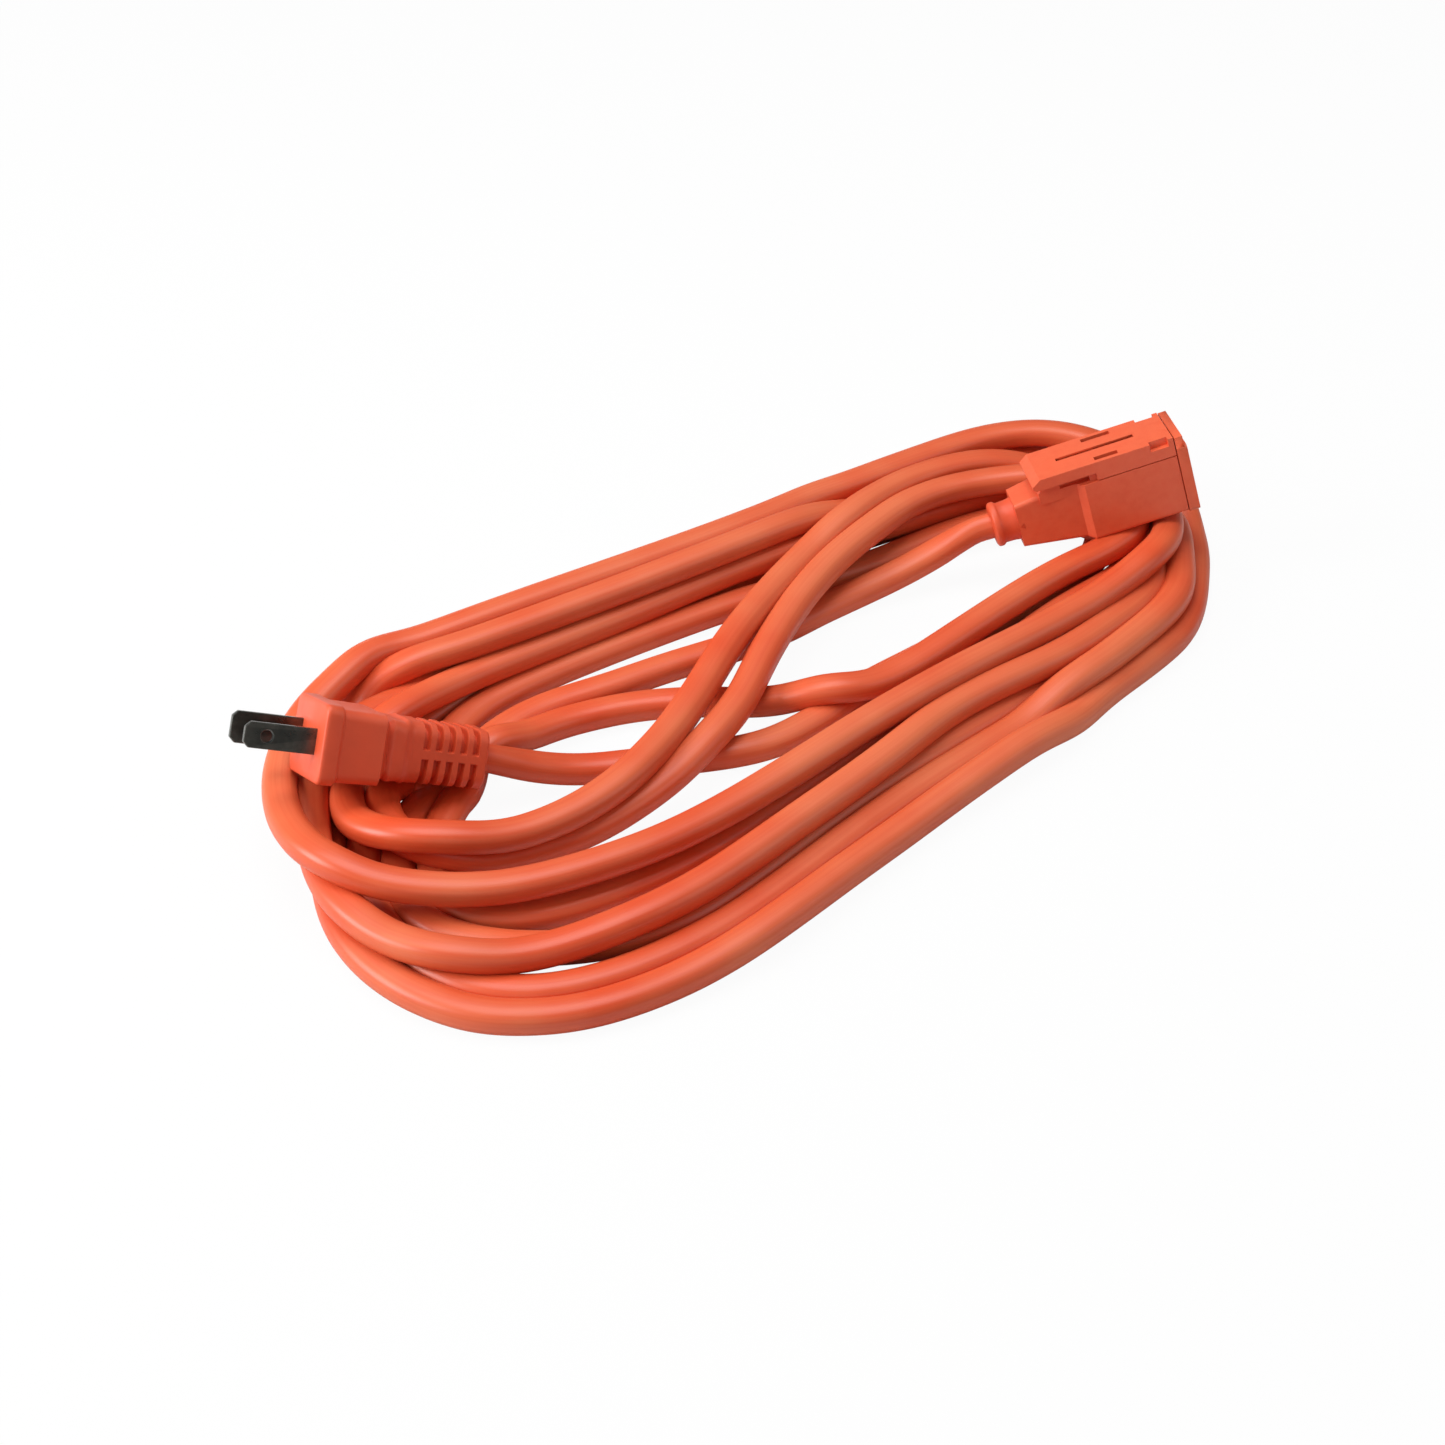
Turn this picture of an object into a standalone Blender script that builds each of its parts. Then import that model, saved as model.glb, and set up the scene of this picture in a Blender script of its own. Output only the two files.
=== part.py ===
"""An orange extension cord wound as a loose flat hank: two-blade plug, three-outlet tap with a sliding cover."""

import math

import bmesh
import bpy
from mathutils import Matrix, Vector

MM = 0.001

# Fits
CLEARANCE = 0.3 * MM  # between neighbouring pieces
END_GAP = 0.45 * MM  # at the ends of wires and jackets
SLIDE_GAP = 0.3 * MM  # around the sliding cover and its guide rib
SLOT_PLAY = 0.2 * MM  # outlet slot beyond the blade, each side

# Cord
JACKET_DIAMETER = 7.3 * MM
WIRE_DIAMETER = 2.8 * MM
COPPER_DIAMETER = 1.4 * MM
WIRE_STRAIGHT = 3.0 * MM  # straight wire at each end, inside the plug and the tap
PLUG_WIRE_LENGTH = 11.6 * MM
TAP_WIRE_LENGTH = 10.6 * MM
LEAD_STRAIGHT = 6.0 * MM  # straight cord before and after the plug's and the tap's mouths
WIRE_SPACING = 3.8 * MM  # between the two wires where they enter the jacket
CRIMP_WALL = 0.7 * MM
CRIMP_LENGTH = 5.6 * MM
CRIMP_GRIP = 4.0 * MM  # length of bare copper in a crimp barrel
BARE_COPPER = 6.5 * MM  # length of each bare conductor

# Blades
BLADE_SPACING = 12.7 * MM
BLADE_THICKNESS = 1.5 * MM
LIVE_WIDTH = 6.35 * MM
NEUTRAL_WIDTH = 7.9 * MM
BLADE_LENGTH = 17.5 * MM
BLADE_HOLE_DIAMETER = 3.1 * MM
BLADE_HOLE_SET = 12.0 * MM  # hole centre in front of the face
BLADE_TIP_CHAMFER = 1.3 * MM
BLADE_TAIL_SHIFT = 1.2 * MM  # crimp barrel nearer the middle than its blade

# Plug, face at x = 0, cord towards +x
FACE_MARGIN_Y = 5.9 * MM  # from the blades to the face's edge
FACE_MARGIN_Z = 5.8 * MM
FLANGE_LENGTH = 4.5 * MM
FLANGE_STEP = 0.8 * MM
GRIP_LENGTH = 12.6 * MM
WAIST_DEPTH = 1.1 * MM
SHOULDER_LENGTH = 4.6 * MM
RELIEF_LENGTH = 21.0 * MM
RELIEF_WALL = 3.5 * MM  # around the jacket at the relief's end
RELIEF_FLARE = 0.3 * MM  # extra half height of the relief where it starts
RELIEF_SIDE_EXTRA = 0.3 * MM
RELIEF_RIDGE = 1.2 * MM  # half height of the rib left between the two rows on each narrow side
RELIEF_SLOTS = 5
RELIEF_SLOT_PITCH = 3.2 * MM
RELIEF_SLOT_WIDTH = 1.3 * MM
RELIEF_SLOT_DEPTH = 1.4 * MM
SOFT_EDGE = 0.6 * MM  # chamfer on the grip's face and at the relief's end
FACE_WALL = 2.5 * MM
INSERT_LENGTH = 9.7 * MM
INSERT_WALL = 1.9 * MM
INSERT_HEIGHT_WALL = 1.4 * MM
PLUG_CORNER = 2.6 * MM

# Tap, block's cord side at x = 0, end cap towards +x
BLOCK_LENGTH = 26.7 * MM
BLOCK_HEIGHT = 20.2 * MM
BLOCK_CORNER = 1.2 * MM
REBATE_WALL = 0.4 * MM
SKIRT_THICKNESS = 0.8 * MM
SKIRT_DROP = 2.3 * MM
SKIRT_START = 4.0 * MM
TAPER_LENGTH = 20.0 * MM
COLLAR_LENGTH = 7.0 * MM
COLLAR_WALL = 2.0 * MM
COLLAR_EXTRA_HEIGHT = 0.6 * MM
OUTLET_CENTRE = 8.0 * MM  # middle of the upper and lower outlets' slots
ROOF_THICKNESS = 3.0 * MM
FLOOR_THICKNESS = 2.0 * MM
END_CAP_THICKNESS = 3.0 * MM
END_CAP_RIM = 0.3 * MM
SPIGOT_LENGTH = 2.2 * MM
SPIGOT_HEIGHT = 9.0 * MM

# Contacts of the tap
LEAF_THICKNESS = 0.4 * MM
LEAF_GAP = 0.6 * MM
CONTACT_HEIGHT = 12.0 * MM
CONTACT_REAR = 1.5 * MM
CONTACT_BRIDGE = 0.8 * MM
CONTACT_TAIL_SHIFT = 1.75 * MM

# Sliding cover of the tap
COVER_THICKNESS = 3.2 * MM
COVER_OVERHANG = 14.0 * MM
COVER_TRAVEL = 11.0 * MM
COVER_TIP_BEVEL = 2.4 * MM
GUIDE_SLIT_START = -5.0 * MM
GUIDE_SLIT_WIDTH = 1.6 * MM
GUIDE_RIB_LENGTH = 10.9 * MM
GUIDE_HEAD_OVERHANG = 1.0 * MM
GUIDE_HEAD_HEIGHT = 0.7 * MM
GUIDE_HEAD_BASE = 1.1 * MM  # material of the cover under the rib's head
NOTCH_START = 20.0 * MM
NOTCH_LENGTH = 5.2 * MM
NOTCH_WIDTH = 1.8 * MM
NOTCH_DEPTH = 2.2 * MM

# Where the plug and the tap lie on the hank: place, and turns about X, Y, Z in degrees
PLUG_PLACE = Vector((-111.6, -51.2, 28.2)) * MM
PLUG_TURN = (-25.0, 20.0, 18.0)
TAP_PLACE = Vector((90.2, 73.4, 23.3)) * MM
TAP_TURN = (-5.0, -16.0, 8.0)

# The wound turns, station by station around the hank, in millimetres: inner point, outer point, and the heights of
# the inner shoulder, the two tops and the outer shoulder.
COIL_STATIONS = [
    ((-95.5, -54), (-123.5, -58), (10, 12, 12, 9)),
    ((-91.5, -63), (-111.5, -81), (14.5, 17, 16, 11)),
    ((-83.5, -67), (-95.5, -106), (17, 18, 15, 9.5)),
    ((-73.5, -68), (-75.5, -125), (17.5, 18.5, 15, 8.5)),
    ((-61.5, -66), (-53.5, -129), (17, 18.5, 14, 8)),
    ((-45.5, -65), (-27.5, -120), (15.5, 18, 14, 8)),
    ((-32.5, -54), (-7.5, -106), (14, 17.5, 14, 7.7)),
    ((-16.5, -39), (12.5, -85), (13, 17.5, 13.5, 7.5)),
    ((0.5, -25), (30.5, -65), (12.5, 17.5, 13.5, 7.5)),
    ((19.5, 3), (48.5, -44), (10, 17, 13, 7.5)),
    ((44.5, 29), (70.5, -20), (12, 17, 12, 7.5)),
    ((69.5, 51), (92.5, 0), (14.5, 17.5, 12.5, 8)),
    ((86.5, 66), (116.5, 26), (13, 17, 14, 11)),
    ((91.5, 77), (127.5, 58), (11, 15.5, 16.5, 12)),
    ((89.5, 84), (130.5, 86), (10, 13, 17, 13)),
    ((81.5, 86), (124.5, 109), (10, 13.5, 16.5, 13)),
    ((72.5, 82), (106.5, 125), (12, 17.5, 17.5, 13.5)),
    ((60.5, 75), (84.5, 129), (12.5, 18, 18, 14)),
    ((43.5, 63), (54.5, 118), (12, 15, 18.5, 14)),
    ((24.5, 48), (26.5, 102), (11, 12, 17, 15)),
    ((-3.5, 41), (-3.5, 79), (8, 12, 17, 16)),
    ((-28.5, 26), (-31.5, 60), (8, 12, 17, 16)),
    ((-53.5, 10), (-59.5, 40), (8.2, 12.5, 17, 16)),
    ((-71.5, -14), (-89.5, 20), (8, 13, 18, 15)),
    ((-79.5, -25), (-111.5, -8), (8.5, 11, 16, 13)),
    ((-89.5, -38), (-124.5, -32), (8.5, 10.5, 11.8, 8.5)),
]
COIL_EDGE_HEIGHT = 3.6  # mm, widest level of the lowest strands
COIL_SHARES = (0.03, 0.97, 1.0, 0.95, 0.70, 0.30, 0.05, 0.0)  # across the width, inner edge to outer edge
COIL_STEPS = 2  # rings per station

# Loose strands, as the cord's middle line in millimetres
PLUG_LEAD = [(-62.5, -35.5, 9.0), (-50.5, -32, 4.9), (-38.5, -29, 3.7), (-20.5, -25.5, 3.7), (-0.5, -20, 3.7)]
TAP_LEAD = [(50.5, 62, 11), (38.5, 50.5, 6.2), (23.5, 38, 3.9), (4.5, 24, 3.7), (-19.5, 10, 3.7),
            (-39.5, 2, 3.7),
            (-58.5, -10.5, 3.7), (-69.5, -21.5, 3.7), (-76.0, -29.0, 3.7)]
INNER_STRAND = [(13.5, -1.5, 3.7), (-2.5, -1, 3.7), (-20.5, -3, 3.7), (-43.5, -8, 3.7), (-55.5, -19, 3.7),
                (-65.2, -30.6, 3.7)]
CROSSING_LEFT = [(-50.5, -64.3, 13), (-33.5, -44, 13), (-23.5, -21, 14), (-14.5, 0, 15), (-6.5, 20, 16),
                 (2.5, 44, 16), (7.3, 56.6, 15.9)]
CROSSING_RIGHT = [(-25.8, -44.4, 10.2), (-16.5, -31, 11), (-7.5, -14, 12), (-0.5, 8, 13), (6.5, 28, 14),
                  (18.1, 55, 14.8)]

ORANGE = (0.80, 0.16, 0.03)
ORANGE_LIGHT = (0.86, 0.22, 0.06)

# Worked out from the sizes above
half_spacing = BLADE_SPACING / 2
slot_half = BLADE_THICKNESS / 2 + SLOT_PLAY
plug_half_y = half_spacing + BLADE_THICKNESS / 2 + FACE_MARGIN_Y
plug_half_z = NEUTRAL_WIDTH / 2 + FACE_MARGIN_Z
jacket_bore = JACKET_DIAMETER / 2 + CLEARANCE
waist_x = FLANGE_LENGTH + GRIP_LENGTH
relief_x = waist_x + SHOULDER_LENGTH + WAIST_DEPTH
plug_end = relief_x + RELIEF_LENGTH
insert_x = FACE_WALL + CLEARANCE
insert_end = insert_x + INSERT_LENGTH
insert_half_y = half_spacing + BLADE_THICKNESS / 2 + INSERT_WALL
insert_half_z = NEUTRAL_WIDTH / 2 + CLEARANCE + INSERT_HEIGHT_WALL
crimp_radius = COPPER_DIAMETER / 2 + CLEARANCE + CRIMP_WALL
plug_barrel_end = insert_end + CRIMP_LENGTH
plug_barrel_y = half_spacing - BLADE_TAIL_SHIFT
plug_wire_start = plug_barrel_end + END_GAP
plug_wire_end = plug_wire_start + PLUG_WIRE_LENGTH
plug_jacket_start = plug_wire_end + END_GAP

block_half_y = half_spacing + slot_half + REBATE_WALL + SLIDE_GAP + SKIRT_THICKNESS
block_half_z = BLOCK_HEIGHT / 2
cavity_half_y = half_spacing + LEAF_GAP / 2 + LEAF_THICKNESS + CLEARANCE
cavity_top = block_half_z - ROOF_THICKNESS
cavity_bottom = FLOOR_THICKNESS - block_half_z
collar_half_y = JACKET_DIAMETER / 2 + COLLAR_WALL
collar_half_z = collar_half_y + COLLAR_EXTRA_HEIGHT
collar_end = -TAPER_LENGTH - COLLAR_LENGTH
contact_barrel_y = half_spacing - CONTACT_TAIL_SHIFT
contact_barrel_end = CONTACT_REAR - CRIMP_LENGTH
tap_wire_start = contact_barrel_end - END_GAP
tap_wire_end = tap_wire_start - TAP_WIRE_LENGTH
tap_jacket_start = tap_wire_end - END_GAP
cap_x = BLOCK_LENGTH + CLEARANCE
cap_half_y = block_half_y + END_CAP_RIM
spigot_x = cap_x - SPIGOT_LENGTH
inner_end = spigot_x - CLEARANCE
cover_base = block_half_z + SLIDE_GAP
cover_top = cover_base + COVER_THICKNESS
slit_end = GUIDE_SLIT_START + GUIDE_RIB_LENGTH + COVER_TRAVEL + 2 * SLIDE_GAP
rib_half = GUIDE_SLIT_WIDTH / 2 - SLIDE_GAP
head_z = cover_base + GUIDE_HEAD_BASE + SLIDE_GAP
skirt_bottom = cover_base - SKIRT_DROP


def material(name, colour, roughness, metallic=0.0):
    mat = bpy.data.materials.new(name)
    mat.use_nodes = True
    shader = mat.node_tree.nodes["Principled BSDF"]
    shader.inputs["Base Color"].default_value = (*colour, 1.0)
    shader.inputs["Roughness"].default_value = roughness
    shader.inputs["Metallic"].default_value = metallic
    mat.diffuse_color = (*colour, 1.0)
    return mat


def empty(name, place, turn=(0.0, 0.0, 0.0), parent=None):
    obj = bpy.data.objects.new(name, None)
    obj.location = place
    obj.rotation_euler = [math.radians(angle) for angle in turn]
    obj.parent = parent
    bpy.context.collection.objects.link(obj)
    return obj


def add_mesh(name, shape, parent, mat=None):
    """Makes an object from a bmesh. Without a material it is a cutter, which stays out of the model."""
    bmesh.ops.recalc_face_normals(shape, faces=shape.faces)
    mesh = bpy.data.meshes.new(name)
    shape.to_mesh(mesh)
    shape.free()
    obj = bpy.data.objects.new(name, mesh)
    obj.parent = parent
    bpy.context.collection.objects.link(obj)
    if mat is None:
        obj.hide_render = True
        obj.display_type = "WIRE"
    else:
        mesh.materials.append(mat)
        mesh.shade_smooth()
        mesh.set_sharp_from_angle(angle=math.radians(35))
    return obj


def add_box(shape, low, high):
    """Adds an upright box to a bmesh, from its low corner to its high corner."""
    low, high = Vector(low), Vector(high)
    scale = Matrix.Diagonal((*(high - low), 1.0))
    bmesh.ops.create_cube(shape, size=1.0, matrix=Matrix.Translation((low + high) / 2) @ scale)


def boxes(name, corners, parent, mat=None):
    """One object of separate boxes that don't touch."""
    shape = bmesh.new()
    for low, high in corners:
        add_box(shape, low, high)
    return add_mesh(name, shape, parent, mat)


def add_cylinder(shape, radius, start, end, segments=16):
    start, end = Vector(start), Vector(end)
    along = end - start
    turn = along.to_track_quat("Z", "Y").to_matrix().to_4x4()
    bmesh.ops.create_cone(shape, cap_ends=True, segments=segments, radius1=radius, radius2=radius,
                          depth=along.length, matrix=Matrix.Translation((start + end) / 2) @ turn)


def cylinders(name, rods, parent, mat=None):
    """One object of separate cylinders, each (radius, start, end)."""
    shape = bmesh.new()
    for radius, start, end in rods:
        add_cylinder(shape, radius, start, end)
    return add_mesh(name, shape, parent, mat)


def rounded_section(half_y, half_z, corner, arc_steps=3):
    """The corners of a rounded rectangle, as (y, z) points."""
    points = []
    for quarter, (side_y, side_z) in enumerate(((1, 1), (-1, 1), (-1, -1), (1, -1))):
        for step in range(arc_steps + 1):
            angle = math.pi / 2 * (quarter + step / arc_steps)
            points.append((side_y * (half_y - corner) + corner * math.cos(angle),
                           side_z * (half_z - corner) + corner * math.sin(angle)))
    return points


def loft(name, sections, parent, mat=None):
    """A closed solid through sections along x, each (x, points)."""
    shape = bmesh.new()
    rings = [[shape.verts.new((x, y, z)) for y, z in points] for x, points in sections]
    for first, second in zip(rings, rings[1:]):
        for k in range(len(first)):
            after = (k + 1) % len(first)
            shape.faces.new((first[k], first[after], second[after], second[k]))
    shape.faces.new(rings[0])
    shape.faces.new(rings[-1])
    return add_mesh(name, shape, parent, mat)


def extrude_outline(name, outline, low_y, high_y, parent, mat=None):
    """A plate: an outline in x and z, extruded along y."""
    shape = bmesh.new()
    face = shape.faces.new([shape.verts.new((x, low_y, z)) for x, z in outline])
    grown = bmesh.ops.extrude_face_region(shape, geom=[face])["geom"]
    moved = [vert for vert in grown if isinstance(vert, bmesh.types.BMVert)]
    bmesh.ops.translate(shape, vec=(0.0, high_y - low_y, 0.0), verts=moved)
    return add_mesh(name, shape, parent, mat)


def combine(obj, other, operation):
    """Cuts a piece with another object, or joins that object to it; the other one is then only a guide."""
    modifier = obj.modifiers.new(other.name, "BOOLEAN")
    modifier.operation = operation
    modifier.object = other
    other.hide_render = True
    other.display_type = "WIRE"


def smooth_route(points, spacing):
    """Evenly spread points on a smooth curve through the route's points."""
    points = [Vector(point) for point in points]
    padded = [2 * points[0] - points[1], *points, 2 * points[-1] - points[-2]]
    fine = []
    for a, b, c, d in zip(padded, padded[1:], padded[2:], padded[3:]):
        for step in range(16):
            t = step / 16
            fine.append(0.5 * (2 * b + (c - a) * t + (2 * a - 5 * b + 4 * c - d) * t ** 2
                               + (3 * b - 3 * c + d - a) * t ** 3))
    fine.append(points[-1])
    lengths = [0.0]
    for first, second in zip(fine, fine[1:]):
        lengths.append(lengths[-1] + (second - first).length)
    count = max(3, round(lengths[-1] / spacing) + 1)
    route, k = [], 0
    for n in range(count):
        goal = lengths[-1] * n / (count - 1)
        while k < len(fine) - 2 and lengths[k + 1] < goal:
            k += 1
        share = (goal - lengths[k]) / (lengths[k + 1] - lengths[k])
        route.append(fine[k].lerp(fine[k + 1], share))
    return route


def tube(name, route, diameter, parent, mat):
    """A round cord along a route: a curve with a bevel and filled caps."""
    curve = bpy.data.curves.new(name, "CURVE")
    curve.dimensions = "3D"
    curve.bevel_depth = diameter / 2
    curve.bevel_resolution = 3
    curve.use_fill_caps = True
    spline = curve.splines.new("POLY")
    spline.points.add(len(route) - 1)
    for point, place in zip(spline.points, route):
        point.co = (*place, 1.0)
    curve.materials.append(mat)
    obj = bpy.data.objects.new(name, curve)
    obj.parent = parent
    bpy.context.collection.objects.link(obj)
    return obj


def blade_width(pole):
    return LIVE_WIDTH if pole == "live" else NEUTRAL_WIDTH


def pole_side(pole):
    """The live blade is on the -y side of the plug and the tap, the neutral one on the +y side."""
    return -1 if pole == "live" else 1


def make_wire(name, places, copper, parent, mat):
    """An insulated wire, hollow at its start where the bare conductor comes out of it."""
    route = tube(name + "_route", smooth_route(places, 1.6 * MM), WIRE_DIAMETER, parent, mat)
    mesh = bpy.data.meshes.new_from_object(route)
    bpy.data.objects.remove(route)
    mesh.name = name
    wire = bpy.data.objects.new(name, mesh)
    wire.parent = parent
    bpy.context.collection.objects.link(wire)
    start, end = copper
    bore = cylinders(name + "_bore", [(COPPER_DIAMETER / 2 + CLEARANCE, start, end)], parent)
    combine(wire, bore, "DIFFERENCE")
    return wire


# Plug ------------------------------------------------------------------------------------------------------------


def plug_outline():
    """The grip's sections from the face to the relief's end."""
    soft = SOFT_EDGE
    relief_y = jacket_bore + RELIEF_WALL + RELIEF_SIDE_EXTRA
    relief_z = jacket_bore + RELIEF_WALL - 0.1 * MM
    grip_y, grip_z = plug_half_y - FLANGE_STEP, plug_half_z - FLANGE_STEP
    shoulder_y, shoulder_z = grip_y - 2 * WAIST_DEPTH, grip_z - 1.2 * WAIST_DEPTH
    sizes = [
        (0.0, plug_half_y - soft, plug_half_z - soft, PLUG_CORNER),
        (soft, plug_half_y, plug_half_z, PLUG_CORNER),
        (FLANGE_LENGTH, plug_half_y, plug_half_z, PLUG_CORNER),
        (FLANGE_LENGTH + soft, grip_y, grip_z, PLUG_CORNER),
        (waist_x - WAIST_DEPTH, grip_y - soft / 2, grip_z - soft / 2, PLUG_CORNER),
        (waist_x, shoulder_y - soft, shoulder_z - soft, PLUG_CORNER),
        (waist_x + WAIST_DEPTH, shoulder_y, shoulder_z, PLUG_CORNER),
        (relief_x - WAIST_DEPTH, shoulder_y - soft, shoulder_z - soft, PLUG_CORNER),
        (relief_x, relief_y + RELIEF_FLARE, relief_z + RELIEF_FLARE, PLUG_CORNER),
        (plug_end - soft, relief_y, relief_z, PLUG_CORNER),
        (plug_end, relief_y - soft, relief_z - soft, PLUG_CORNER - soft / 2),
    ]
    return [(x, rounded_section(y, z, corner)) for x, y, z, corner in sizes]


def relief_slot_cutters(parent):
    """Rows of slots around the relief, broken by a rib along the middle of each narrow side."""
    floor_z = jacket_bore + RELIEF_WALL - RELIEF_SLOT_DEPTH
    floor_y = floor_z + RELIEF_SIDE_EXTRA
    reach = floor_y + 2 * RELIEF_SLOT_DEPTH + RELIEF_FLARE
    web = CLEARANCE * 2
    corners = []
    first = plug_end - (RELIEF_SLOTS + 0.3) * RELIEF_SLOT_PITCH
    for slot in range(RELIEF_SLOTS):
        x = first + slot * RELIEF_SLOT_PITCH
        end = x + RELIEF_SLOT_WIDTH
        for side in (-1, 1):
            near, far = sorted((side * floor_z, side * reach))
            corners.append(((x, -floor_y + web, near), (end, floor_y - web, far)))
            near, far = sorted((side * floor_y, side * reach))
            for low, high in ((-floor_z + web, -RELIEF_RIDGE), (RELIEF_RIDGE, floor_z - web)):
                corners.append(((x, near, low), (end, far, high)))
    return boxes("relief_slots", corners, parent)


def blade_slots(name, start, end, parent):
    """Openings around both blades."""
    corners = []
    for pole in ("live", "neutral"):
        y = pole_side(pole) * half_spacing
        half_y = BLADE_THICKNESS / 2 + CLEARANCE
        half_z = blade_width(pole) / 2 + CLEARANCE
        corners.append(((start, y - half_y, -half_z), (end, y + half_y, half_z)))
    return boxes(name, corners, parent)


def wire_funnel(name, wide_x, bend_x, narrow_x, barrel_y, parent):
    """The hollow for the two wires: as wide as the barrels, then tapering to the jacket."""
    wide = barrel_y + crimp_radius + CLEARANCE
    narrow = WIRE_SPACING / 2 + WIRE_DIAMETER / 2 + CLEARANCE
    height = crimp_radius + CLEARANCE
    wide_section, narrow_section = (rounded_section(half_y, height, height / 2) for half_y in (wide, narrow))
    return loft(name, [(wide_x, wide_section), (bend_x, wide_section), (narrow_x, narrow_section)], parent)


def make_plug(place, mats):
    body = loft("plug_body", plug_outline(), place, mats["orange"])
    hollow_y, hollow_z = insert_half_y + CLEARANCE, insert_half_z + CLEARANCE
    cavity = boxes("plug_cavity", [((FACE_WALL, -hollow_y, -hollow_z),
                                    (plug_barrel_end + CLEARANCE, hollow_y, hollow_z))], place)
    funnel = wire_funnel("plug_funnel", plug_barrel_end - MM, plug_wire_start + WIRE_STRAIGHT,
                         plug_jacket_start,
                         plug_barrel_y, place)
    bore = cylinders("plug_bore",
                     [(jacket_bore, (plug_jacket_start - CLEARANCE, 0, 0), (plug_end + MM, 0, 0))], place)
    slots = blade_slots("face_slots", -MM, FACE_WALL + MM, place)
    for cutter in (cavity, funnel, bore, slots, relief_slot_cutters(place)):
        combine(body, cutter, "DIFFERENCE")

    insert = boxes("plug_insert", [((insert_x, -insert_half_y, -insert_half_z),
                                    (insert_end, insert_half_y, insert_half_z))], place, mats["insert"])
    combine(insert, blade_slots("insert_slots", insert_x - MM, insert_end + MM, place), "DIFFERENCE")

    for pole in ("live", "neutral"):
        make_blade(pole, place, mats)
        y = pole_side(pole) * plug_barrel_y
        end_y = pole_side(pole) * WIRE_SPACING / 2
        copper = ((plug_barrel_end - CRIMP_GRIP, y, 0), (plug_barrel_end - CRIMP_GRIP + BARE_COPPER, y, 0))
        cylinders("plug_conductor_" + pole, [(COPPER_DIAMETER / 2, *copper)], place, mats["copper"])
        places = [(plug_wire_start, y, 0), (plug_wire_start + WIRE_STRAIGHT, y, 0),
                  (plug_wire_end - WIRE_STRAIGHT, end_y, 0), (plug_wire_end, end_y, 0)]
        hollow = ((plug_wire_start - MM, y, 0), (copper[1][0] + CLEARANCE, y, 0))
        make_wire("plug_wire_" + pole, places, hollow, place, mats["wire_" + pole])


def make_blade(pole, place, mats):
    """A flat blade with a hole and chamfered tip, and its crimp barrel inside the plug."""
    y = pole_side(pole) * half_spacing
    half_z, tip = blade_width(pole) / 2, BLADE_TIP_CHAMFER
    outline = [(-BLADE_LENGTH, -half_z + tip), (-BLADE_LENGTH + tip, -half_z), (insert_end + MM, -half_z),
               (insert_end + MM, half_z), (-BLADE_LENGTH + tip, half_z), (-BLADE_LENGTH, half_z - tip)]
    blade = extrude_outline("plug_blade_" + pole, outline, y - BLADE_THICKNESS / 2, y + BLADE_THICKNESS / 2,
                            place, mats["brass"])
    barrel_y = pole_side(pole) * plug_barrel_y
    barrel = cylinders("blade_barrel_" + pole, [(crimp_radius, (insert_end + CLEARANCE, barrel_y, 0),
                                                 (plug_barrel_end, barrel_y, 0))], place)
    bore = cylinders("blade_bore_" + pole, [(COPPER_DIAMETER / 2 + CLEARANCE,
                                             (plug_barrel_end - CRIMP_GRIP - CLEARANCE, barrel_y, 0),
                                             (plug_barrel_end + MM, barrel_y, 0))], place)
    hole = cylinders("blade_hole_" + pole, [(BLADE_HOLE_DIAMETER / 2, (-BLADE_HOLE_SET, y - 2 * MM, 0),
                                             (-BLADE_HOLE_SET, y + 2 * MM, 0))], place)
    combine(blade, barrel, "UNION")
    combine(blade, bore, "DIFFERENCE")
    combine(blade, hole, "DIFFERENCE")


# Tap -------------------------------------------------------------------------------------------------------------


def outlet_slots(name, low_z, high_z, parent):
    """A pair of blade slots through a roof or floor of the tap."""
    corners = []
    for pole in ("live", "neutral"):
        y = pole_side(pole) * half_spacing
        half_x = blade_width(pole) / 2 + SLOT_PLAY
        corners.append(((OUTLET_CENTRE - half_x, y - slot_half, low_z),
                        (OUTLET_CENTRE + half_x, y + slot_half, high_z)))
    return boxes(name, corners, parent)


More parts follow.
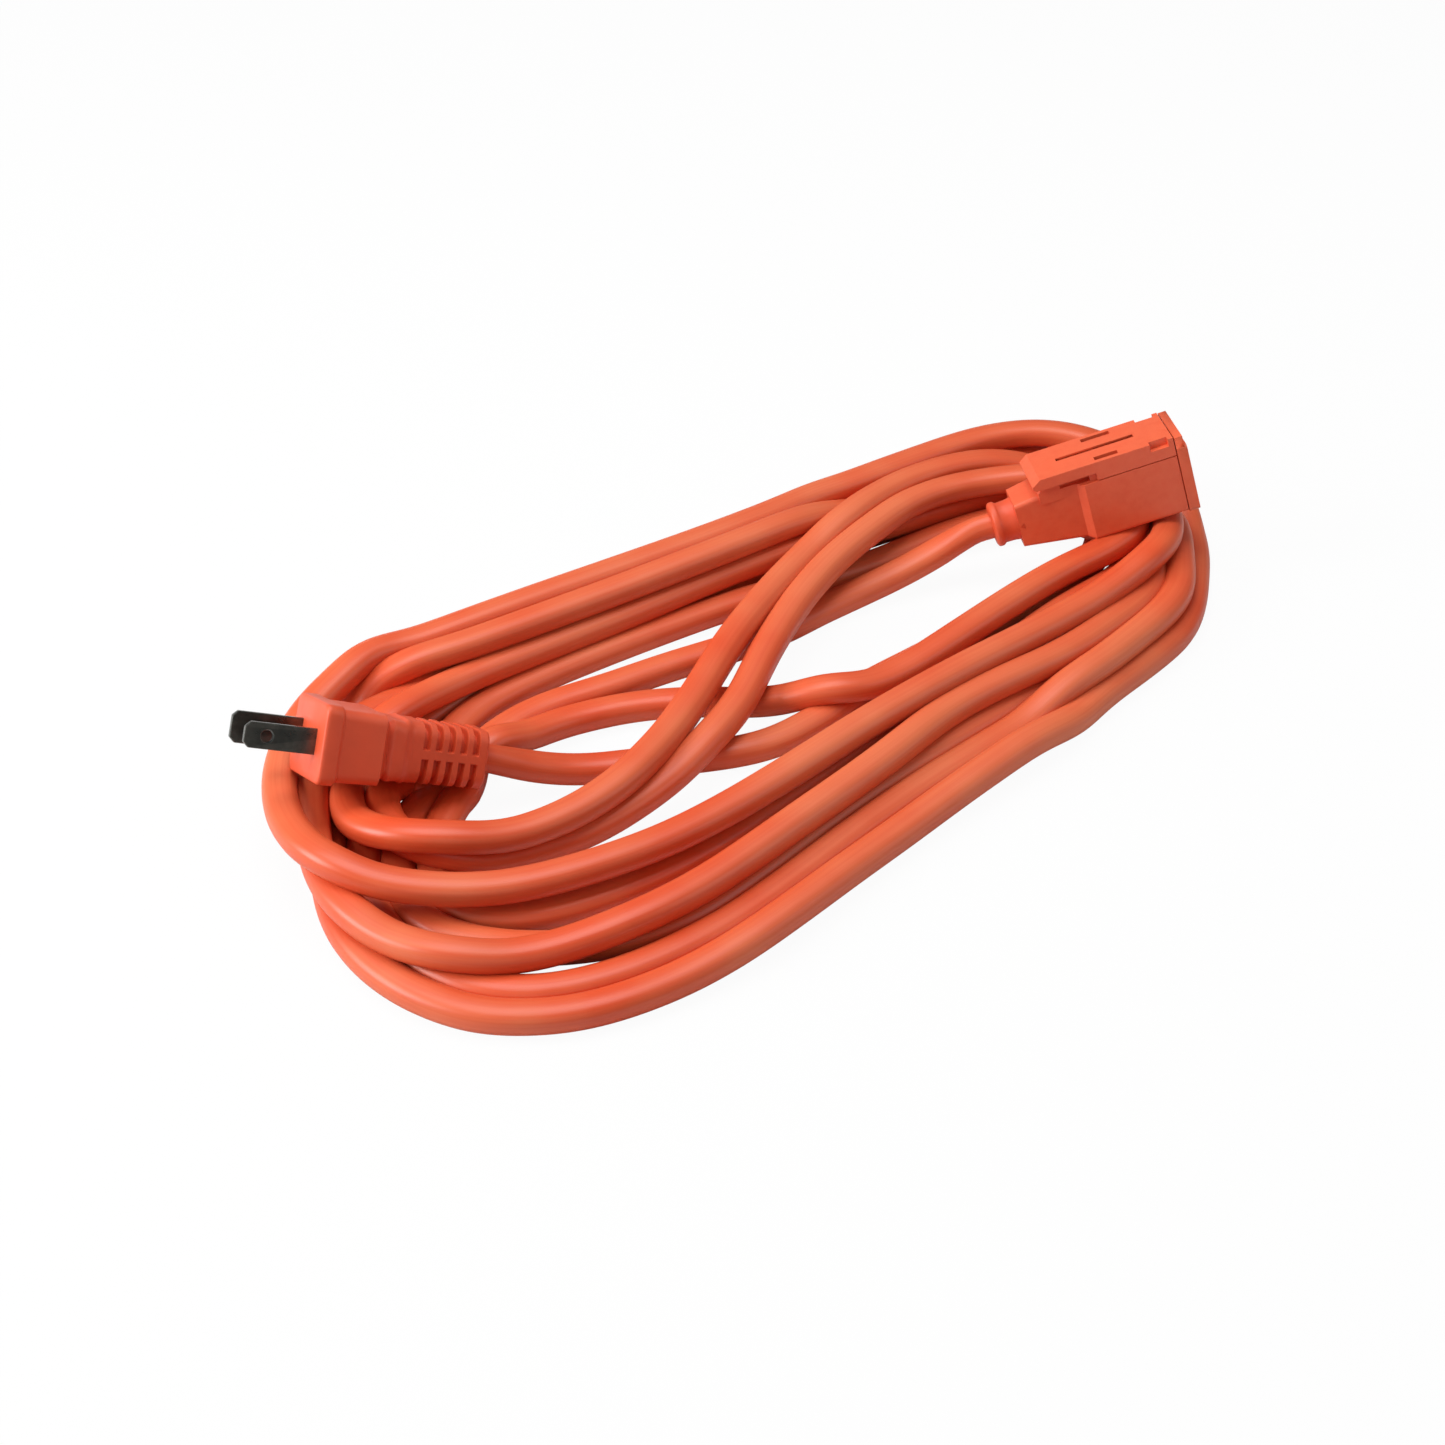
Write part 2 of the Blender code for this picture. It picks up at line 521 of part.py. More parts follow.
def make_tap_body(place, mats):
    sections = [
        (collar_end, rounded_section(collar_half_y - 0.5 * MM, collar_half_z - 0.5 * MM, BLOCK_CORNER)),
        (collar_end + 0.6 * MM, rounded_section(collar_half_y, collar_half_z, BLOCK_CORNER)),
        (-TAPER_LENGTH, rounded_section(collar_half_y, collar_half_z, BLOCK_CORNER)),
        (0.0, rounded_section(block_half_y, block_half_z, BLOCK_CORNER)),
        (BLOCK_LENGTH, rounded_section(block_half_y, block_half_z, BLOCK_CORNER)),
    ]
    body = loft("tap_body", sections, place, mats["orange"])
    rib = boxes("guide_rib", [((GUIDE_SLIT_START + SLIDE_GAP, -rib_half, 0.0),
                               (GUIDE_SLIT_START + SLIDE_GAP + GUIDE_RIB_LENGTH, rib_half,
                                head_z + 0.1 * MM))], place)
    head_half = rib_half + GUIDE_HEAD_OVERHANG
    head = boxes("guide_rib_head", [((GUIDE_SLIT_START + SLIDE_GAP, -head_half, head_z),
                                     (GUIDE_SLIT_START + SLIDE_GAP + GUIDE_RIB_LENGTH, head_half,
                                      head_z + GUIDE_HEAD_HEIGHT))], place)
    combine(body, rib, "UNION")
    combine(body, head, "UNION")
    rebate_y = block_half_y - SKIRT_THICKNESS - SLIDE_GAP
    rebate_x = SKIRT_START - COVER_TRAVEL - SLIDE_GAP
    rebate_z = skirt_bottom - SLIDE_GAP
    out = block_half_y + 2 * MM
    rebates = boxes("skirt_rebates",
                    [((rebate_x, rebate_y, rebate_z), (BLOCK_LENGTH + MM, out, block_half_z + MM)),
                                      ((rebate_x, -out, rebate_z),
                                       (BLOCK_LENGTH + MM, -rebate_y, block_half_z + MM))],
                    place)
    cavity = boxes("tap_cavity", [((0.5 * MM, -cavity_half_y, cavity_bottom),
                                   (BLOCK_LENGTH + MM, cavity_half_y, cavity_top))], place)
    funnel = wire_funnel("tap_funnel", MM, tap_wire_start - WIRE_STRAIGHT, tap_jacket_start,
                         contact_barrel_y, place)
    bore = cylinders("collar_bore", [(jacket_bore, (collar_end - MM, 0, 0),
                                      (tap_jacket_start + CLEARANCE, 0, 0))], place)
    upper = outlet_slots("upper_outlet_slots", cavity_top - MM, block_half_z + MM, place)
    lower = outlet_slots("lower_outlet_slots", -block_half_z - MM, cavity_bottom + MM, place)
    for cutter in (rebates, cavity, funnel, bore, upper, lower):
        combine(body, cutter, "DIFFERENCE")


def make_tap_inside(place, mats):
    carrier_half = cavity_half_y - 2 * (LEAF_THICKNESS + CLEARANCE) - LEAF_GAP
    carrier = boxes("tap_inner_carrier", [((CONTACT_REAR + CONTACT_BRIDGE + CLEARANCE, -carrier_half,
                                            cavity_bottom + CLEARANCE),
                                           (inner_end, carrier_half, cavity_top - CLEARANCE))], place,
                                           mats["insert"])
    window = boxes("carrier_window", [((OUTLET_CENTRE - 2 * MM, -carrier_half + 1.5 * MM, cavity_bottom),
                                       (inner_end - 3 * MM, carrier_half - 1.5 * MM, cavity_top - 3 * MM))],
                                       place)
    combine(carrier, window, "DIFFERENCE")
    for pole in ("live", "neutral"):
        make_contact(pole, place, mats)
        y = pole_side(pole) * contact_barrel_y
        end_y = pole_side(pole) * WIRE_SPACING / 2
        copper = ((contact_barrel_end + CRIMP_GRIP, y, 0), (contact_barrel_end + CRIMP_GRIP - BARE_COPPER,
                                                            y, 0))
        cylinders("tap_conductor_" + pole, [(COPPER_DIAMETER / 2, *copper)], place, mats["copper"])
        places = [(tap_wire_start, y, 0), (tap_wire_start - WIRE_STRAIGHT, y, 0),
                  (tap_wire_end + WIRE_STRAIGHT, end_y, 0), (tap_wire_end, end_y, 0)]
        hollow = ((tap_wire_start + MM, y, 0), (copper[1][0] - CLEARANCE, y, 0))
        make_wire("tap_wire_" + pole, places, hollow, place, mats["wire_" + pole])


def make_contact(pole, place, mats):
    """A forked strip: two upright leaves, joined at the cord side by a bridge that ends in a crimp barrel."""
    side = pole_side(pole)
    inner, outer = half_spacing - LEAF_GAP / 2 - LEAF_THICKNESS, half_spacing + LEAF_GAP / 2
    low_z = (cavity_bottom + cavity_top - CONTACT_HEIGHT) / 2
    bridge_end = CONTACT_REAR + CONTACT_BRIDGE
    bridge_top = low_z + CONTACT_HEIGHT
    outline = [(CONTACT_REAR, inner), (bridge_end + 0.1 * MM, inner), (inner_end, inner),
               (inner_end, inner + LEAF_THICKNESS), (bridge_end, inner + LEAF_THICKNESS), (bridge_end, outer),
               (inner_end, outer), (inner_end, outer + LEAF_THICKNESS),
               (CONTACT_REAR, outer + LEAF_THICKNESS)]
    shape = bmesh.new()
    face = shape.faces.new([shape.verts.new((x, side * y, low_z)) for x, y in outline])
    grown = bmesh.ops.extrude_face_region(shape, geom=[face])["geom"]
    moved = [vert for vert in grown if isinstance(vert, bmesh.types.BMVert)]
    bmesh.ops.translate(shape, vec=(0.0, 0.0, bridge_top - low_z), verts=moved)
    contact = add_mesh("tap_contact_" + pole, shape, place, mats["brass"])
    barrel_y = side * contact_barrel_y
    barrel = cylinders("contact_barrel_" + pole, [(crimp_radius, (contact_barrel_end, barrel_y, 0),
                                                   (bridge_end - 0.2 * MM, barrel_y, 0))], place)
    bore = cylinders("contact_bore_" + pole,
                     [(COPPER_DIAMETER / 2 + CLEARANCE, (contact_barrel_end - MM, barrel_y, 0),
                                               (contact_barrel_end + CRIMP_GRIP + CLEARANCE, barrel_y, 0))],
                                               place)
    combine(contact, barrel, "UNION")
    combine(contact, bore, "DIFFERENCE")


def make_end_cap(place, mats):
    cap = loft("tap_end_cap", [
        (cap_x, rounded_section(cap_half_y, block_half_z + END_CAP_RIM, BLOCK_CORNER)),
        (cap_x + END_CAP_THICKNESS - 0.5 * MM,
         rounded_section(cap_half_y, block_half_z + END_CAP_RIM, BLOCK_CORNER)),
        (cap_x + END_CAP_THICKNESS, rounded_section(cap_half_y - 0.5 * MM, block_half_z, BLOCK_CORNER)),
    ], place, mats["orange"])
    brow = boxes("end_cap_brow", [((cap_x, -block_half_y, block_half_z - MM),
                                   (cap_x + END_CAP_THICKNESS - 0.7 * MM, block_half_y,
                                    cover_top - 0.3 * MM))], place)
    spigot_half = half_spacing - slot_half - CLEARANCE
    spigot = boxes("end_cap_spigot", [((spigot_x, -spigot_half, -SPIGOT_HEIGHT / 2),
                                       (cap_x + MM, spigot_half, SPIGOT_HEIGHT / 2))], place)
    combine(cap, brow, "UNION")
    combine(cap, spigot, "UNION")
    corners = []
    for pole in ("live", "neutral"):
        y = pole_side(pole) * half_spacing
        half_z = blade_width(pole) / 2 + SLOT_PLAY
        corners.append(((cap_x - MM, y - slot_half, -half_z),
                        (cap_x + END_CAP_THICKNESS + MM, y + slot_half, half_z)))
    combine(cap, boxes("end_outlet_slots", corners, place), "DIFFERENCE")


def make_cover(place, mats):
    """The sliding cover: a plate with a bevelled tip, side skirts, guide slit, blade slots and finger notches."""
    end = BLOCK_LENGTH
    low, bevel = cover_base, COVER_TIP_BEVEL
    outline = [(-COVER_OVERHANG, low + 0.8 * MM), (-COVER_OVERHANG + 0.8 * MM, low), (end, low),
               (end, cover_top),
               (-COVER_OVERHANG + bevel, cover_top), (-COVER_OVERHANG, cover_top - 0.7 * bevel)]
    cover = extrude_outline("outlet_cover", outline, -block_half_y, block_half_y, place, mats["cover"])
    inside = block_half_y - SKIRT_THICKNESS
    skirts = boxes("cover_skirts", [((SKIRT_START, inside, skirt_bottom), (end, block_half_y, low + MM)),
                                    ((SKIRT_START, -block_half_y, skirt_bottom), (end, -inside, low + MM))],
                                    place)
    combine(cover, skirts, "UNION")
    slit_half = GUIDE_SLIT_WIDTH / 2
    slit = boxes("guide_slit",
                 [((GUIDE_SLIT_START, -slit_half, low - MM), (slit_end, slit_half, cover_top + MM))], place)
    channel_half = slit_half + GUIDE_HEAD_OVERHANG
    channel = boxes("guide_channel", [((GUIDE_SLIT_START, -channel_half, head_z - SLIDE_GAP),
                                       (slit_end, channel_half, head_z + GUIDE_HEAD_HEIGHT + SLIDE_GAP))],
                                       place)
    slots = outlet_slots("cover_slots", low - MM, cover_top + MM, place)
    notch_y = block_half_y - NOTCH_WIDTH
    out = block_half_y + MM
    notch_z = cover_top - NOTCH_DEPTH
    notch_end = NOTCH_START + NOTCH_LENGTH
    notches = boxes("finger_notches", [((NOTCH_START, notch_y, notch_z), (notch_end, out, cover_top + MM)),
                                       ((NOTCH_START, -out, notch_z),
                                        (notch_end, -notch_y, cover_top + MM))], place)
    for cutter in (slit, channel, slots, notches):
        combine(cover, cutter, "DIFFERENCE")
    return cover


# Cord ------------------------------------------------------------------------------------------------------------


def coil_values():
    """Each station as eight numbers: inner x and y, outer x and y, and the four heights."""
    return [[*inner, *outer, *heights] for inner, outer, heights in COIL_STATIONS]


def make_coil(mats):
    """The wound turns as one closed ring, smooth between its stations."""
    values = coil_values()
    count = len(values)
    shape = bmesh.new()
    rings = []
    for k in range(count * COIL_STEPS):
        here, t = divmod(k, COIL_STEPS)
        t /= COIL_STEPS
        a, b, c, d = (values[(here + shift) % count] for shift in (-1, 0, 1, 2))
        now = [0.5 * (2 * q + (r - p) * t + (2 * p - 5 * q + 4 * r - s) * t ** 2 + (3 * q - 3 * r + s - p) * t ** 3)
               for p, q, r, s in zip(a, b, c, d)]
        inner, outer = Vector(now[0:2]), Vector(now[2:4])
        inner_shoulder, first_top, second_top, outer_shoulder = now[4:]
        heights = (0.0, 0.0, COIL_EDGE_HEIGHT, outer_shoulder, second_top, first_top, inner_shoulder,
                   COIL_EDGE_HEIGHT)
        ring = []
        for share, height in zip(COIL_SHARES, heights):
            x, y = inner.lerp(outer, share)
            ring.append(shape.verts.new((x * MM, y * MM, height * MM)))
        rings.append(ring)
    for first, second in zip(rings, rings[1:] + rings[:1]):
        for k in range(len(first)):
            after = (k + 1) % len(first)
            shape.faces.new((first[k], first[after], second[after], second[k]))
    return add_mesh("cord_coil", shape, None, mats["cord"])


def make_strands(plug_place, tap_place, mats):
    """The loose strands; the leads start inside the plug's relief and the tap's collar."""
    spacing = 2.4 * JACKET_DIAMETER
    plug_stops = (plug_jacket_start, plug_end - LEAD_STRAIGHT, plug_end, plug_end + LEAD_STRAIGHT)
    tap_stops = (tap_jacket_start, collar_end + LEAD_STRAIGHT, collar_end, collar_end - LEAD_STRAIGHT)
    plug_start = [plug_place.matrix_world @ Vector((x, 0, 0)) for x in plug_stops]
    tap_start = [tap_place.matrix_world @ Vector((x, 0, 0)) for x in tap_stops]
    routes = {
        "cord_plug_lead": plug_start + [Vector(point) * MM for point in PLUG_LEAD],
        "cord_tap_lead": tap_start + [Vector(point) * MM for point in TAP_LEAD],
        "cord_inner_strand": [Vector(point) * MM for point in INNER_STRAND],
        "cord_crossing_strand_left": [Vector(point) * MM for point in CROSSING_LEFT],
        "cord_crossing_strand_right": [Vector(point) * MM for point in CROSSING_RIGHT],
    }
    for name, route in routes.items():
        tube(name, smooth_route(route, spacing), JACKET_DIAMETER, None, mats["cord"])


def main():
    for obj in list(bpy.data.objects):
        bpy.data.objects.remove(obj, do_unlink=True)
    mats = {
        "orange": material("moulded_orange", ORANGE, 0.45),
        "cover": material("cover_orange", ORANGE_LIGHT, 0.4),
        "cord": material("cord_jacket", ORANGE, 0.5),
        "brass": material("contact_metal", (0.62, 0.55, 0.42), 0.3, 1.0),
        "copper": material("copper", (0.72, 0.40, 0.24), 0.35, 1.0),
        "insert": material("insert", (0.75, 0.72, 0.66), 0.6),
        "wire_live": material("wire_black", (0.02, 0.02, 0.02), 0.5),
        "wire_neutral": material("wire_white", (0.80, 0.80, 0.78), 0.5),
    }
    plug_place = empty("plug_place", PLUG_PLACE, PLUG_TURN)
    tap_place = empty("tap_place", TAP_PLACE, TAP_TURN)
    bpy.context.view_layer.update()
    make_plug(plug_place, mats)
    make_tap_body(tap_place, mats)
    make_tap_inside(tap_place, mats)
    make_end_cap(tap_place, mats)
    make_cover(tap_place, mats)
    make_coil(mats)
    make_strands(plug_place, tap_place, mats)


main()
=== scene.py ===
import math

import bmesh
import bpy
import numpy as np
from mathutils import Euler, Matrix, Vector


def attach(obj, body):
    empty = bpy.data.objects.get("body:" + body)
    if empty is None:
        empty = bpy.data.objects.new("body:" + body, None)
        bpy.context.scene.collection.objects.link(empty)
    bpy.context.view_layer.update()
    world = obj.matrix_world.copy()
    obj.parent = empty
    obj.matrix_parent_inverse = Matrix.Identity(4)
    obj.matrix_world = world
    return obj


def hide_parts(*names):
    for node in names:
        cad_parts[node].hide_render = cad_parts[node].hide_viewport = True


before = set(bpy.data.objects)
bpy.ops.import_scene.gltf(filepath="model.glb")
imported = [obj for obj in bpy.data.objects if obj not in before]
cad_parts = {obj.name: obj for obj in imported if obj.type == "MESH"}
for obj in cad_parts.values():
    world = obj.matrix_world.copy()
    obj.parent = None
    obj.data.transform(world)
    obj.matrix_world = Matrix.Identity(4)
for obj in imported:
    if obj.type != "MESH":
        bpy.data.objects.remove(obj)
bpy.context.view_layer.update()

mm = 0.001

# ---- where things stand; the same places as in the part's source
plugPlace = {"at": (-111.6, -51.2, 28.2), "turn": (-25.0, 20.0, 18.0)}
tapPlace = {"at": (90.2, 73.4, 23.3), "turn": (-5.0, -16.0, 8.0)}


def placeMatrix(place):
    turn = Euler([math.radians(a) for a in place["turn"]]).to_matrix().to_4x4()
    return Matrix.Translation(Vector(place["at"]) * mm) @ turn


plugMatrix = placeMatrix(plugPlace)
tapMatrix = placeMatrix(tapPlace)

# ---- camera
cameraSetup = {"target": (-0.0115, -0.026, 0.015), "elevation": 35.0, "distance": 0.650, "lens": 64.18}


def makeCamera():
    data = bpy.data.cameras.new("photoCamera")
    data.sensor_width = 36
    data.lens = cameraSetup["lens"]
    data.clip_start, data.clip_end = 0.01, 20
    camera = bpy.data.objects.new("photoCamera", data)
    tilt = math.radians(cameraSetup["elevation"])
    back = Vector((0, -math.cos(tilt), math.sin(tilt)))
    camera.location = Vector(cameraSetup["target"]) + back * cameraSetup["distance"]
    camera.rotation_euler = (math.pi / 2 - tilt, 0, 0)
    bpy.context.collection.objects.link(camera)
    bpy.context.scene.camera = camera
    return camera


photoCamera = makeCamera()
print("camera ready")

# ---- shared shader effects


def newGroup(name, inputs, outputs):
    tree = bpy.data.node_groups.new(name, "ShaderNodeTree")
    for kind, label, start in inputs:
        socket = tree.interface.new_socket(label, in_out="INPUT", socket_type="NodeSocket" + kind)
        if start is not None:
            socket.default_value = start
    for kind, label in outputs:
        tree.interface.new_socket(label, in_out="OUTPUT", socket_type="NodeSocket" + kind)
    return tree, tree.nodes.new("NodeGroupInput"), tree.nodes.new("NodeGroupOutput")


def mathNode(tree, operation, a, b=None):
    node = tree.nodes.new("ShaderNodeMath")
    node.operation = operation
    for k, value in enumerate((a, b)):
        if value is None:
            continue
        if isinstance(value, (int, float)):
            node.inputs[k].default_value = value
        else:
            tree.links.new(value, node.inputs[k])
    return node.outputs[0]


def mixColour(tree, amount, a, b, blend="MIX"):
    node = tree.nodes.new("ShaderNodeMix")
    node.data_type = "RGBA"
    node.blend_type = blend
    for key, value in (("Factor_Float", amount), ("A_Color", a), ("B_Color", b)):
        socket = next(s for s in node.inputs if s.identifier == key)
        if isinstance(value, (int, float)):
            socket.default_value = value
        elif isinstance(value, tuple):
            socket.default_value = (*value, 1.0)
        else:
            tree.links.new(value, socket)
    return next(s for s in node.outputs if s.identifier == "Result_Color")


def remap(tree, value, low, high, newLow=0.0, newHigh=1.0):
    node = tree.nodes.new("ShaderNodeMapRange")
    tree.links.new(value, node.inputs["Value"])
    for key, number in (("From Min", low), ("From Max", high), ("To Min", newLow), ("To Max", newHigh)):
        node.inputs[key].default_value = number
    return node.outputs[0]


def noiseNode(tree, vector, scale, detail=3.0, roughness=0.55):
    node = tree.nodes.new("ShaderNodeTexNoise")
    for key, value in (("Scale", scale), ("Detail", detail), ("Roughness", roughness)):
        if isinstance(value, (int, float)):
            node.inputs[key].default_value = value
        else:
            tree.links.new(value, node.inputs[key])
    tree.links.new(vector, node.inputs["Vector"])
    return node.outputs["Fac"]


def makeExtrusionGroup():  # fine lines and a slow waviness along a drawn jacket
    tree, start, end = newGroup("extrusionLines", [("Float", "Lines", 1.0), ("Float", "Waviness", 1.0)],
                                [("Float", "Height"), ("Float", "Streaks"), ("Float", "Patches")])
    uv = tree.nodes.new("ShaderNodeUVMap")
    uv.uv_map = "along"
    stretch = tree.nodes.new("ShaderNodeVectorMath")
    stretch.operation = "MULTIPLY"
    stretch.inputs[1].default_value = (26.0, 1.3, 1.0)
    tree.links.new(uv.outputs[0], stretch.inputs[0])
    lines = noiseNode(tree, stretch.outputs[0], 1.0, 4.0, 0.6)
    coords = tree.nodes.new("ShaderNodeTexCoord")
    slow = noiseNode(tree, coords.outputs["Object"], 55.0, 2.0, 0.5)
    patches = noiseNode(tree, coords.outputs["Object"], 16.0, 3.0, 0.6)
    height = mathNode(tree, "ADD", mathNode(tree, "MULTIPLY", lines, start.outputs["Lines"]),
                      mathNode(tree, "MULTIPLY", slow, start.outputs["Waviness"]))
    tree.links.new(height, end.inputs["Height"])
    tree.links.new(lines, end.inputs["Streaks"])
    tree.links.new(patches, end.inputs["Patches"])
    return tree


def makeGrainGroup():  # the fine texture of a moulded or stamped surface
    tree, start, end = newGroup("surfaceGrain", [("Float", "Grain Scale", 1400.0), ("Float", "Patch Scale", 60.0)],
                                [("Float", "Height"), ("Float", "Patches")])
    coords = tree.nodes.new("ShaderNodeTexCoord")
    grain = noiseNode(tree, coords.outputs["Object"], start.outputs["Grain Scale"], 2.0, 0.6)
    patches = noiseNode(tree, coords.outputs["Object"], start.outputs["Patch Scale"], 3.0, 0.6)
    tree.links.new(grain, end.inputs["Height"])
    tree.links.new(patches, end.inputs["Patches"])
    return tree


def makeWearAndPaintedShadeGroup():  # paler raised edges as wear; painted shade: a darker colour in the concave places
    tree, start, end = newGroup("edgeWearAndPaintedShade", [("Color", "Colour", None), ("Color", "Edge Colour", None),
                                             ("Color", "Painted Shade Colour", None), ("Float", "Edge Amount", 0.5),
                                             ("Float", "Painted Shade Amount", 0.5)],
                                [("Color", "Colour"), ("Float", "Edge")])
    shape = tree.nodes.new("ShaderNodeNewGeometry")
    coords = tree.nodes.new("ShaderNodeTexCoord")
    broken = noiseNode(tree, coords.outputs["Object"], 420.0, 3.0, 0.65)
    edge = remap(tree, shape.outputs["Pointiness"], 0.52, 0.62)
    # painted shade mask: the concave places, where shade would fall, get a darker colour
    hollow = remap(tree, shape.outputs["Pointiness"], 0.48, 0.40)
    edge = mathNode(tree, "MULTIPLY", edge, remap(tree, broken, 0.3, 0.6, 0.55, 1.0))
    worn = mixColour(tree, mathNode(tree, "MULTIPLY", edge, start.outputs["Edge Amount"]),
                     start.outputs["Colour"], start.outputs["Edge Colour"])
    # the painted shade colour is mixed in over the concave places
    worn = mixColour(tree, mathNode(tree, "MULTIPLY", hollow, start.outputs["Painted Shade Amount"]), worn,
                     start.outputs["Painted Shade Colour"])
    tree.links.new(worn, end.inputs["Colour"])
    tree.links.new(edge, end.inputs["Edge"])
    return tree


extrusionLines = makeExtrusionGroup()
surfaceGrain = makeGrainGroup()
edgeWearAndPaintedShade = makeWearAndPaintedShadeGroup()


def newMaterial(name, settings):
    mat = bpy.data.materials.new(name)
    mat.use_nodes = True
    tree = mat.node_tree
    shader = tree.nodes["Principled BSDF"]
    shader.inputs["Metallic"].default_value = settings.get("metallic", 0.0)
    shader.inputs["IOR"].default_value = settings.get("ior", 1.5)
    shader.inputs["Specular IOR Level"].default_value = settings.get("specular", 0.5)
    mat.diffuse_color = (*settings["colour"], 1.0)
    return mat, tree, shader


def placeGroup(tree, group, values=None):
    node = tree.nodes.new("ShaderNodeGroup")
    node.node_tree = group
    for key, value in (values or {}).items():
        node.inputs[key].default_value = (*value, 1.0) if isinstance(value, tuple) else value
    return node


def addBump(tree, shader, height, distance, strength=1.0):
    bump = tree.nodes.new("ShaderNodeBump")
    bump.inputs["Distance"].default_value = distance
    bump.inputs["Strength"].default_value = strength
    tree.links.new(height, bump.inputs["Height"])
    tree.links.new(bump.outputs["Normal"], shader.inputs["Normal"])


jacketLook = {"colour": (0.68, 0.082, 0.024), "deep": (0.55, 0.024, 0.005), "dusty": (0.71, 0.158, 0.061),
              "roughness": 0.40, "lines": 0.35, "waviness": 0.9, "bump": 0.10 * mm, "specular": 0.45}


def makeJacketMaterial():
    mat, tree, shader = newMaterial("cordJacketVinyl", jacketLook)
    drawn = placeGroup(tree, extrusionLines, {"Lines": jacketLook["lines"], "Waviness": jacketLook["waviness"]})
    patches = remap(tree, drawn.outputs["Patches"], 0.35, 0.65)
    colour = mixColour(tree, patches, jacketLook["colour"], jacketLook["dusty"])
    colour = mixColour(tree, remap(tree, drawn.outputs["Streaks"], 0.40, 0.75, 0.0, 0.28), colour, jacketLook["deep"])
    tree.links.new(colour, shader.inputs["Base Color"])
    rough = remap(tree, drawn.outputs["Patches"], 0.3, 0.7, jacketLook["roughness"] - 0.06,
                  jacketLook["roughness"] + 0.07)
    tree.links.new(rough, shader.inputs["Roughness"])
    addBump(tree, shader, drawn.outputs["Height"], jacketLook["bump"])
    return mat


# in each look, the darker colour for concave places is painted shade; the paler edge colour is wear
mouldedLook = {"colour": (0.75, 0.092, 0.032), "edge": (0.80, 0.15, 0.062), "hollow": (0.50, 0.030, 0.010),
               "roughness": 0.46, "grain": 1700.0, "patch": 90.0, "bump": 0.018 * mm, "specular": 0.45}
coverLook = {**mouldedLook, "colour": (0.76, 0.098, 0.036), "roughness": 0.42}
metalLook = {"colour": (0.050, 0.058, 0.054), "edge": (0.55, 0.51, 0.44), "hollow": (0.03, 0.028, 0.024),
             "roughness": 0.30, "grain": 2400.0, "patch": 160.0, "bump": 0.006 * mm, "metallic": 1.0}
brassLook = {"colour": (0.60, 0.43, 0.19), "edge": (0.72, 0.55, 0.28), "hollow": (0.30, 0.19, 0.08),
             "roughness": 0.30, "grain": 2100.0, "patch": 140.0, "bump": 0.006 * mm, "metallic": 1.0}
copperLook = {**brassLook, "colour": (0.70, 0.33, 0.19), "edge": (0.80, 0.45, 0.28), "hollow": (0.35, 0.14, 0.08)}
insertLook = {"colour": (0.66, 0.62, 0.54), "edge": (0.74, 0.70, 0.62), "hollow": (0.45, 0.41, 0.34),
              "roughness": 0.55, "grain": 1500.0, "patch": 110.0, "bump": 0.012 * mm}
blackWireLook = {"colour": (0.020, 0.020, 0.021), "edge": (0.05, 0.05, 0.05), "hollow": (0.012, 0.012, 0.012),
                 "roughness": 0.42, "grain": 1900.0, "patch": 120.0, "bump": 0.008 * mm}
whiteWireLook = {**blackWireLook, "colour": (0.74, 0.74, 0.71), "edge": (0.80, 0.80, 0.78),
                 "hollow": (0.55, 0.54, 0.50)}


def makeSolidMaterial(name, look):  # one recipe for moulded, stamped and drawn pieces, each with its own values
    mat, tree, shader = newMaterial(name, look)
    grain = placeGroup(tree, surfaceGrain, {"Grain Scale": look["grain"], "Patch Scale": look["patch"]})
    # the group pales the edges as wear and darkens concave places with painted shade
    wear = placeGroup(tree, edgeWearAndPaintedShade, {"Edge Colour": look["edge"], "Painted Shade Colour": look["hollow"],
                                       "Edge Amount": 0.55, "Painted Shade Amount": 0.45})
    soft = tuple(c * 0.90 for c in look["colour"])
    tone = mixColour(tree, remap(tree, grain.outputs["Patches"], 0.3, 0.7), look["colour"], soft)
    tree.links.new(tone, wear.inputs["Colour"])
    tree.links.new(wear.outputs["Colour"], shader.inputs["Base Color"])
    rough = remap(tree, grain.outputs["Patches"], 0.3, 0.7, look["roughness"] - 0.05, look["roughness"] + 0.06)
    tree.links.new(rough, shader.inputs["Roughness"])
    addBump(tree, shader, grain.outputs["Height"], look["bump"])
    return mat


jacketMat = makeJacketMaterial()
mouldedMat = makeSolidMaterial("mouldedVinyl", mouldedLook)
coverMat = makeSolidMaterial("coverVinyl", coverLook)
metalMat = makeSolidMaterial("platedBlade", metalLook)
brassMat = makeSolidMaterial("contactBrass", brassLook)
copperMat = makeSolidMaterial("copperStrands", copperLook)
insertMat = makeSolidMaterial("insertPlastic", insertLook)
blackWireMat = makeSolidMaterial("blackWireCover", blackWireLook)
whiteWireMat = makeSolidMaterial("whiteWireCover", whiteWireLook)
print("materials ready")

# ---- the cord: guide points in millimetres, joined and then settled under their own weight
cordSetup = {"width": 8.8, "height": 6.9, "roundEnd": 7.3, "step": 4.0, "drawStep": 2.0, "ringPoints": 20,
             "shift": (-11.5, -26.0, 0.0), "packWidth": 8.6, "packHeight": 6.8, "rounds": 320,
             "squareness": 2.7, "endStraight": 17.0, "push": 0.9, "hold": 0.05, "holdAlongView": 0.004, "sink": 0.02,
             "curl": 0.075, "stiff": 0.35, "neighbours": 6}

